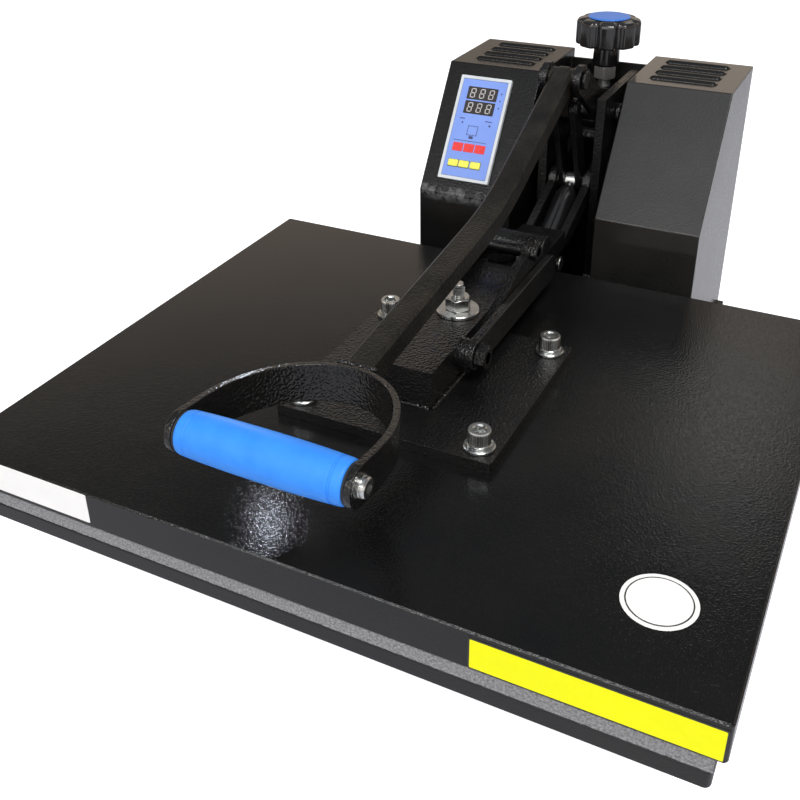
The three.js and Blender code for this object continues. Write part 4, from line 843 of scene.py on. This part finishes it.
def flute_ring(piece, height, radii):
    start = {}
    for vertex in piece.data.vertices:
        if abs(vertex.co.z - height * MM) < NEAR:
            start.setdefault(flute_offset(vertex.co), math.hypot(vertex.co.x, vertex.co.y))
    for offset, radius in start.items():
        mark(piece, "VERT", lambda point: abs(point.co.z - height * MM) < NEAR
             and flute_offset(point.co) == offset)
        share = radii(offset) * MM / radius
        bpy.ops.transform.resize(value=(share, share, 1), center_override=(0, 0, height * MM))
        object_mode()
    return len(start)


clear_selection()
bpy.ops.mesh.primitive_circle_add(vertices=192, radius=WHEEL_RADIUS * MM, fill_type="NGON",
                                  location=(0, 0, WHEEL_FOOT * MM),
                                  rotation=(0, 0, math.radians(FLUTE_TURN)))
wheel = bpy.context.object
wheel.name = "knob_wheel_fine"
settle()
print("groups of outline points:", flute_ring(wheel, WHEEL_FOOT, flute_radius))

# %% [markdown]
# The outline is then extruded and resized up to a low dome, where it becomes round again. The top is
# sunk for the blue cap, the underside is drawn down and in a little, and a turned hub is joined on.

# %% Body of the knob
WALL_HEIGHT = 18
DOME_RIM = 20.9
MANY_SIDES = 100
mark(wheel, "FACE", lambda face: True)
knob_steps = [(WALL_HEIGHT, 1.0), (1.9, 0.988), (1.5, 0.965), (1.1, 0.925), (0.8, 0.86),
              (0.45, 0.79), (0.15, 0.74)]
extrude_steps(knob_steps)
object_mode()
rim_height = WHEEL_FOOT + sum(rise for rise, share in knob_steps)
flute_ring(wheel, rim_height, lambda offset: DOME_RIM)
mark(wheel, "FACE", lambda face: face.normal.z > 0.9 and len(face.verts) > MANY_SIDES
     and face.calc_center_median().z > (WHEEL_FOOT + WALL_HEIGHT) * MM)
extrude_steps([(0.0, 0.975), (-1.6, 0.99)])
object_mode()
mark(wheel, "FACE", lambda face: len(face.verts) > MANY_SIDES
     and face.calc_center_median().z < (WHEEL_FOOT + 1) * MM)
extrude_steps([(-1.4, 0.975), (-0.6, 0.94), (0.0, 0.88)])
face_outwards()
hub = turned("hub", [(12.4, 290), (13.0, 290.8), (13.0, 292), (12.3, 306), (12.6, 309), (14, 311)],
             64)
wheel = join("knob_wheel_fine", [wheel, hub])
stand(wheel, SCREW_PLACE)
dress(wheel, "gloss_plastic", body_of["knob_wheel"], 40, instead=("knob_wheel",))
cap = turned("knob_cap_fine", [(19.6, 334), (20.0, 334.4), (20.0, 336.0), (19.6, 336.5), (18.4, 336.75),
                               (12, 336.95), (4, 337.0)], 96)
stand(cap, SCREW_PLACE)
dress(cap, "cap_plastic", body_of["knob_cap"], 50, instead=("knob_cap",))
print("knob faces:", len(wheel.data.polygons))

# %% [markdown]
# The grip is a thick roll of blue foam with a gentle belly. Two thin grooves near its ends show where
# the mould's end pieces met it. A cylinder could be bent to this outline, but a turned piece has the
# grooves too. It is made upright and then laid across, in the plane of the handle.

# %% Grip
HANDLE_LEAN = -6.2
HANDLE_PLACE = place(0, 2, 223)


def lay(piece):
    stand(piece, (0, 0, 0), (0, 90, 0))
    return stand(piece, HANDLE_PLACE, (HANDLE_LEAN, 0, 0))


half = [(0, 14.5), (8, 14.48), (16, 14.42), (24, 14.3), (32, 14.12), (39, 13.9), (44.6, 13.68),
        (45.6, 13.6), (45.9, 13.1), (46.5, 12.9), (47.1, 13.1), (47.4, 13.55), (48.4, 13.5), (51.2, 13.3),
        (52.6, 12.95), (53.3, 12.3), (53.5, 11.6)]
rings = [(radius, -across) for across, radius in reversed(half)]
rings += [(radius, across) for across, radius in half[1:]]
grip = lay(turned("grip_fine", rings, 96))
dress(grip, "foam", body_of["grip"], 40, instead=("grip",))
print("grip rings:", len(rings))

# %% [markdown]
# A black washer sits between each end of the grip and the strip, and a bright bolt goes through the
# grip. Only its two ends show, so the shank is a plain round bar.

# %% Washers and bolt of the grip
GRIP_END = 53.5
STRIP_INNER = 55.0
STRIP_OUTER = 59.5
WASHER_RADIUS = 12.4
for side, sign in (("left", -1), ("right", 1)):
    inner, outer = sorted((sign * GRIP_END, sign * STRIP_INNER))
    node = "grip_washer_" + side
    disc = turned(node + "_fine", [(WASHER_RADIUS - 0.4, inner), (WASHER_RADIUS, inner + 0.4),
                                   (WASHER_RADIUS, outer - 0.4), (WASHER_RADIUS - 0.4, outer)], 64)
    dress(lay(disc), "rubber", body_of[node], 30, instead=(node,))
bolt_ends = [corner[0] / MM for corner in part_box("grip_bolt")]
print("grip bolt from", [round(end, 1) for end in bolt_ends])

# %% [markdown]
# Each end of the bolt is a low round head with a flange and a hexagon socket. The socket is cut out by
# a six-sided bar, because a dark dot painted there would have no depth.

# %% Heads of the grip bolt
shank = turned("shank", [(3.9, bolt_ends[0] + 3), (4.0, bolt_ends[0] + 3.5), (4.0, bolt_ends[1] - 3)], 32)
heads = []
for sign, end in ((-1, bolt_ends[0]), (1, bolt_ends[1])):
    plate_edge = sign * STRIP_OUTER
    steps = [(7.2, plate_edge), (7.2, plate_edge + sign * 1.2), (6.4, plate_edge + sign * 1.25),
             (6.3, end - sign * 1.2), (5.6, end - sign * 0.4), (4.4, end)]
    if sign < 0:
        steps = steps[::-1]
    heads.append(turned("head_end", steps))
    clear_selection()
    bpy.ops.mesh.primitive_cylinder_add(vertices=6, radius=3.1 * MM, depth=5.4 * MM,
                                        location=(0, 0, end * MM))
    combine(heads[-1], bpy.context.object, "DIFFERENCE")
grip_bolt = lay(join("grip_bolt_fine", [shank, *heads]))
dress(grip_bolt, "zinc", body_of["grip_bolt"], 30, instead=("grip_bolt",))
print("grip bolt faces:", len(grip_bolt.data.polygons))

# %% [markdown]
# The front bolt and the rib bolt cross the arm. They were painted with it, so they are black, and
# their hexagons have the same chamfered corners as the bright nut. Both are made by one function,
# which reads the length of each bolt from its solid.

# %% Painted bolts of the arm


def cross_bolt(node, flats, left_face, right_face, radius, turn, along, up):
    low, high = [corner[0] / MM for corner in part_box(node)]
    bar = turned("bar", [(radius * 0.93, low), (radius, low + 0.5), (radius, high - 0.5),
                         (radius * 0.93, high)], 32)
    heads = [hexagon("head_end", flats, *face) for face in (left_face, right_face)]
    whole = join(node + "_fine", [bar, *heads])
    stand(whole, (0, 0, 0), (0, 0, turn))
    stand(whole, (0, 0, 0), (0, 90, 0))
    stand(whole, place(0, along, up))
    round_edges(whole, 0.3)
    dress(whole, "bar_paint", body_of[node], 30, instead=(node,))
    print(node, "reaches from", round(low, 1), "to", round(high, 1))


cross_bolt("front_bolt", flats=16, left_face=(-40.4, -34), right_face=(34, 42), radius=5, turn=11,
           along=219.5, up=178.5)
cross_bolt("rib_bolt", flats=13, left_face=(-32.8, -27.5), right_face=(27.5, 32.8), radius=4, turn=5,
           along=345, up=206.5)

# %% [markdown]
# Between the cover and the lower platen lies a silicone pad. It was cut with a knife, so its edge is
# rough and grainy. A bump alone would leave a ruled line against the black, so the sides are divided
# into small faces first. The flat top and bottom are left open until the sides are rough. The pad
# starts a little smaller than its solid, which leaves room for the rough edge.

# %% Silicone pad
clear_selection()
EDGE_ROOM = 0.8
pad_low, pad_high = [Vector(corner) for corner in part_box("silicone_pad")]
bpy.ops.mesh.primitive_cube_add(size=1, location=(pad_low + pad_high) / 2)
pad = bpy.context.object
pad.name = "silicone_pad_fine"
pad.scale = pad_high - pad_low - Vector((EDGE_ROOM, EDGE_ROOM, 0)) * MM
settle()
mark(pad, "FACE", lambda face: abs(face.normal.z) > 0.9)
bpy.ops.mesh.delete(type="ONLY_FACE")
object_mode()
mark(pad, "EDGE", lambda edge: abs(edge.verts[0].co.z - edge.verts[1].co.z) < 0.1 * MM)
bpy.ops.mesh.subdivide(number_cuts=100)
bpy.ops.mesh.subdivide(number_cuts=2)
object_mode()
mark(pad, "EDGE", lambda edge: abs(edge.verts[0].co.z - edge.verts[1].co.z) > MM)
bpy.ops.mesh.subdivide(number_cuts=6)
object_mode()
print("pad faces:", len(pad.data.polygons))

# %% [markdown]
# A cloud pattern moves the small faces in and out by less than half a millimetre. Then the top and the
# bottom are filled, so that the pad is closed again.

# %% Rough edge of the pad
grit = bpy.data.textures.new("pad_grit", "CLOUDS")
grit.noise_scale = 0.0016
grit.noise_depth = 2
apply_modifier(pad, "DISPLACE", texture=grit, texture_coords="GLOBAL", strength=0.9 * MM,
               mid_level=0.5)
mark(pad, "EDGE", lambda edge: edge.is_boundary)
bpy.ops.mesh.fill_holes(sides=0)
face_outwards()
dress(pad, "silicone", body_of["silicone_pad"], 180, instead=("silicone_pad",))
print("pad faces:", len(pad.data.polygons))

# %% [markdown]
# Air leaves the housings through louvres in their tops. Each louvre is a low hood pressed up from the
# sheet, open to the rear. Plain slots would be simpler, but the hoods catch the light. A hood starts
# as a sphere, its halves are moved apart to make a long capsule, planes cut away its lower half and
# one side, and a wall is given to what is left.

# %% One louvre hood
LOUVRE_LENGTH = 60
LOUVRE_DEPTH = 8.5
LOUVRE_RISE = 2.9
LOUVRE_WALL = 0.8
LOUVRE_CUT = LOUVRE_DEPTH / 4
clear_selection()
bpy.ops.mesh.primitive_uv_sphere_add(segments=32, ring_count=16, radius=LOUVRE_DEPTH / 2 * MM)
hood = bpy.context.object
hood.name = "hood"
reach = (LOUVRE_LENGTH - LOUVRE_DEPTH) / 2 * MM
for sign in (-1, 1):
    mark(hood, "VERT", lambda point: point.co.x * sign > NEAR)
    bpy.ops.transform.translate(value=(sign * reach, 0, 0))
    object_mode()
hood.scale = (1, 1, LOUVRE_RISE / (LOUVRE_DEPTH / 2))
settle()
for spot, direction in (((0, 0, 0), (0, 0, -1)), ((0, -LOUVRE_CUT * MM, 0), (0, -1, 0))):
    edit_all(hood)
    bpy.ops.mesh.bisect(plane_co=spot, plane_no=direction, clear_outer=True, use_fill=False)
    object_mode()
edit_all(hood)
bpy.ops.mesh.remove_doubles(threshold=NEAR)
face_outwards()
apply_modifier(hood, "SOLIDIFY", thickness=LOUVRE_WALL * MM, offset=-1)
print("hood faces:", len(hood.data.polygons))

# %% [markdown]
# Each housing has four louvres in a row, from front to rear. The copies are turned half round, so that
# the open side faces the rear, and sink a little into the sheet, so that no gap shows under them.

# %% Eight louvres
LOUVRE_ROWS = (564, 584, 603, 623)
LOUVRE_ACROSS = 86
LOUVRE_SINK = 0.3
BOX_TOP = 295.4
for side, across in (("left", -LOUVRE_ACROSS), ("right", LOUVRE_ACROSS)):
    for row, along in enumerate(LOUVRE_ROWS):
        copy = twin(hood, "louvre_" + side + "_" + str(row + 1))
        stand(copy, place(across, along, BOX_TOP - LOUVRE_SINK), (0, 0, 180))
        dress(copy, "cover_paint", "base", 40)
bpy.data.objects.remove(hood, do_unlink=True)
print("louvres:", 2 * len(LOUVRE_ROWS))

# %% [markdown]
# Labels, display windows and printed marks are thin plates with rounded corners. They could be drawn
# in the material, but real stickers have an edge that catches the light. One helper starts from a
# cube, bevels its four upright edges for the corner radius, and takes the rim of the top down.

# %% Thin plates


def thin_plate(name, width, height, thickness, corner, rim=0.12):
    clear_selection()
    bpy.ops.mesh.primitive_cube_add(size=1, location=(0, 0, thickness / 2 * MM))
    piece = bpy.context.object
    piece.name = name
    piece.scale = (width * MM, height * MM, thickness * MM)
    settle()
    mark(piece, "EDGE", lambda edge: abs(edge.verts[0].co.z - edge.verts[1].co.z) > NEAR)
    bpy.ops.mesh.bevel(offset=corner * MM, segments=5, affect="EDGES")
    mark(piece, "FACE", lambda face: face.calc_center_median().z > thickness * 0.9 * MM)
    bpy.ops.mesh.inset(thickness=rim * MM, depth=0)
    edge_x = (width / 2 - rim * 0.5) * MM
    edge_y = (height / 2 - rim * 0.5) * MM
    mark(piece, "VERT", lambda point: point.co.z > thickness * 0.9 * MM
         and (abs(point.co.x) > edge_x or abs(point.co.y) > edge_y))
    bpy.ops.transform.translate(value=(0, 0, -min(rim, thickness) * 0.6 * MM))
    object_mode()
    return piece


print("thin plate helper ready")

# %% [markdown]
# The cover carries three blank labels: a yellow one with a thin black border and a white one on the
# front skirt, and a round white one on the top, which looks oval from the camera. They are left
# without any words or signs. A border or a ring is a larger plate just below the next one.

# %% Labels on the cover
SKIRT_TURN = (90, 0, 0)
LABEL_THICK = 0.35
LABEL_CORNER = 0.8
cover_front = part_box("cover")[0][1] / MM + MIDDLE_Y
cover_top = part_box("cover")[1][2] / MM


def skirt_label(name, left, right, low, high, look, lift=0.0):
    label = thin_plate(name, right - left, high - low, LABEL_THICK, LABEL_CORNER)
    stand(label, place((left + right) / 2, cover_front - lift, (low + high) / 2), SKIRT_TURN)
    dress(label, look, "arm", 30)


skirt_label("label_yellow_border", 122.2, 258.6, 124.0, 146.4, "black_ink")
skirt_label("label_yellow", 123.3, 257.5, 124.9, 145.3, "yellow_label", lift=0.12)
skirt_label("label_white", -258.2, -141, 126.4, 148.6, "white_label")
ROUND_LABEL = (207, 66)
round_plates = [("label_oval", 21.5, 0.0, "white_label"), ("label_oval_ring", 18.9, 0.14, "black_ink"),
              ("label_oval_middle", 18.1, 0.20, "white_label")]
for name, radius, lift, look in round_plates:
    disc = turned(name, [(radius, 0), (radius, 0.2), (radius - 0.12, 0.3)], 96)
    stand(disc, place(*ROUND_LABEL, cover_top + lift))
    dress(disc, look, "arm", 30)
print("labels on a cover", round(cover_front, 1), "from the front,", round(cover_top, 1), "high")

# %% [markdown]
# The face of the controller leans back on the slanted front of the left housing. Its pieces are laid
# out flat, in millimetres across and up the slant, and one turn brings them to the slant.

# %% The controller's face
SLANT = 56.75
SLANT_FOOT = place(0, 472, 187.7)


def on_slant(piece, across, up, out):
    stand(piece, (across * MM, up * MM, out * MM))
    stand(piece, SLANT_FOOT, (SLANT, 0, 0))


WINDOW_X = -92.25
WINDOW_ROWS = (("upper", 99.0), ("lower", 85.0))
PANEL_OUT = 4.1
PLATE_SINK = 0.1
for row, up in WINDOW_ROWS:
    window = thin_plate("window_" + row, width=30.5, height=12.6, thickness=0.3, corner=0.5)
    on_slant(window, WINDOW_X, up, PANEL_OUT - PLATE_SINK)
    dress(window, "window", "base", 30)
print("windows up the slant:", WINDOW_ROWS)

# %% [markdown]
# Each window has three digits of seven bars. A typed figure would need a font, and a display has none.
# One pointed bar is modelled and copied instead: three bars lie and four stand. All bars show, as they
# do on a display that is switched off.

# %% Bars of the digits
BAR_LONG = 3.7
BAR_WIDE = 0.85
BAR_THICK = 0.2
clear_selection()
bpy.ops.mesh.primitive_cylinder_add(vertices=6, radius=BAR_WIDE * 0.58 * MM, depth=BAR_THICK * MM,
                                    location=(0, 0, BAR_THICK / 2 * MM))
bar = bpy.context.object
bar.name = "bar"
settle()
stand(bar, (0, 0, 0), (0, 0, 90))
for sign in (-1, 1):
    mark(bar, "VERT", lambda point: point.co.x * sign > NEAR)
    bpy.ops.transform.translate(value=(sign * (BAR_LONG - BAR_WIDE) / 2 * MM, 0, 0))
    object_mode()
bar_spots = [(0, 4.2, 0), (0, 0, 0), (0, -4.2, 0), (-2.1, 2.1, 90), (2.1, 2.1, 90), (-2.1, -2.1, 90),
             (2.1, -2.1, 90)]
DIGIT_STEP = 9.4
DIGIT_LEAN = 0.12
DIGIT_LIFT = 0.15
for row, up in WINDOW_ROWS:
    bars = []
    for column in (-1, 0, 1):
        for across, rise, turn in bar_spots:
            spot = (column * DIGIT_STEP + across + rise * DIGIT_LEAN, rise, 0)
            bars.append(stand(twin(bar, "copy"), Vector(spot) * MM, (0, 0, turn)))
    digits = join("digits_" + row, bars)
    on_slant(digits, WINDOW_X, up, PANEL_OUT + DIGIT_LIFT)
    dress(digits, "digit", "base", 30)
bpy.data.objects.remove(bar, do_unlink=True)
print("bars in a window:", 3 * len(bar_spots))

# %% [markdown]
# Below the windows are three red fields, an outlined square on a small foot, a thin line and a few
# small dots and dashes. They stand for printing, so they are very thin. No words are printed. The
# square is four bars, because an inset face would need a hole.

# %% Printed marks
RED_ROW = 45.5
for number, across in enumerate((-104.3, -92.9, -81.5)):
    field = thin_plate("red_field_" + str(number + 1), width=10.4, height=8.2, thickness=0.35,
                       corner=0.5)
    on_slant(field, across, RED_ROW, PANEL_OUT - PLATE_SINK)
    dress(field, "red_key", "base", 30)
ink_spots = [(-98.4, 62.5, 0.5, 9.4), (-88.6, 62.5, 0.5, 9.4), (-93.5, 67.0, 10.2, 0.5),
             (-93.5, 58.0, 10.2, 0.5), (-93.5, 55.8, 4.4, 2.6), (-93.5, 52.0, 34.0, 0.45),
             (-106.5, 73.5, 5.0, 0.8), (-79.5, 73.0, 7.0, 0.8), (-105.5, 69.5, 1.6, 1.6),
             (-77.5, 69.0, 1.8, 1.8), (-73.0, 101.0, 1.4, 1.4), (-73.0, 94.0, 1.4, 1.4),
             (-73.0, 87.0, 1.4, 1.4)]
marks = []
for across, up, width, height in ink_spots:
    ink = thin_plate("ink", width, height, thickness=0.16, corner=min(width, height) * 0.3, rim=0.04)
    marks.append(stand(ink, Vector((across, up, PANEL_OUT)) * MM))
printing = join("printed_marks", marks)
stand(printing, SLANT_FOOT, (SLANT, 0, 0))
dress(printing, "ink", "base", 30)
print("printed marks:", len(marks))

# %% [markdown]
# Weld beads join the channel block to its plate, and the lever to the strip of the handle. A bead is a
# row of overlapping drops, each laid a little further along. A bent tube would be too even. Small
# spheres are placed along the joint with small seeded changes of size and place, and a voxel remesh
# melts them into one lumpy body, which is then smoothed a little.

# %% Weld beads
chance = random.Random(7)
DROP_STEP = 1.9
DROP_STRAY = 0.35
WELD_VOXEL = 0.55


def weld(name, body, points, radius):
    drops = []
    for start, end in zip(points, points[1:]):
        run = (Vector(end) - Vector(start)).length
        count = max(1, int(run / DROP_STEP))
        for index in range(count + 1):
            spot = Vector(start).lerp(Vector(end), index / count)
            jitter = Vector([chance.uniform(-DROP_STRAY, DROP_STRAY) for axis in range(3)])
            clear_selection()
            size = radius * chance.uniform(0.78, 1.15)
            bpy.ops.mesh.primitive_ico_sphere_add(subdivisions=2, radius=size * MM,
                                                  location=place(*(spot + jitter)))
            drops.append(bpy.context.object)
    bead = join(name, drops)
    settle()
    apply_modifier(bead, "REMESH", mode="VOXEL", voxel_size=WELD_VOXEL * MM)
    apply_modifier(bead, "SMOOTH", factor=0.6, iterations=2)
    dress(bead, "bar_paint", body, 180)


BLOCK_SIDE = 21.5
BLOCK_FRONT = 169.2
for side, across in (("right", BLOCK_SIDE), ("left", -BLOCK_SIDE)):
    weld("weld_block_" + side, "arm", [(across, 172, 158.6), (across, 250, 158.6)], 2.0)
weld("weld_block_front", "arm", [(-18, BLOCK_FRONT, 158.5), (18, BLOCK_FRONT, 158.5)], 1.7)
handle_corners = [(-12, 104.5, 212), (-12, 104.5, 224), (12, 104.5, 224), (12, 104.5, 212)]
weld("weld_handle", "lever", handle_corners, 2.2)
print("weld beads done")
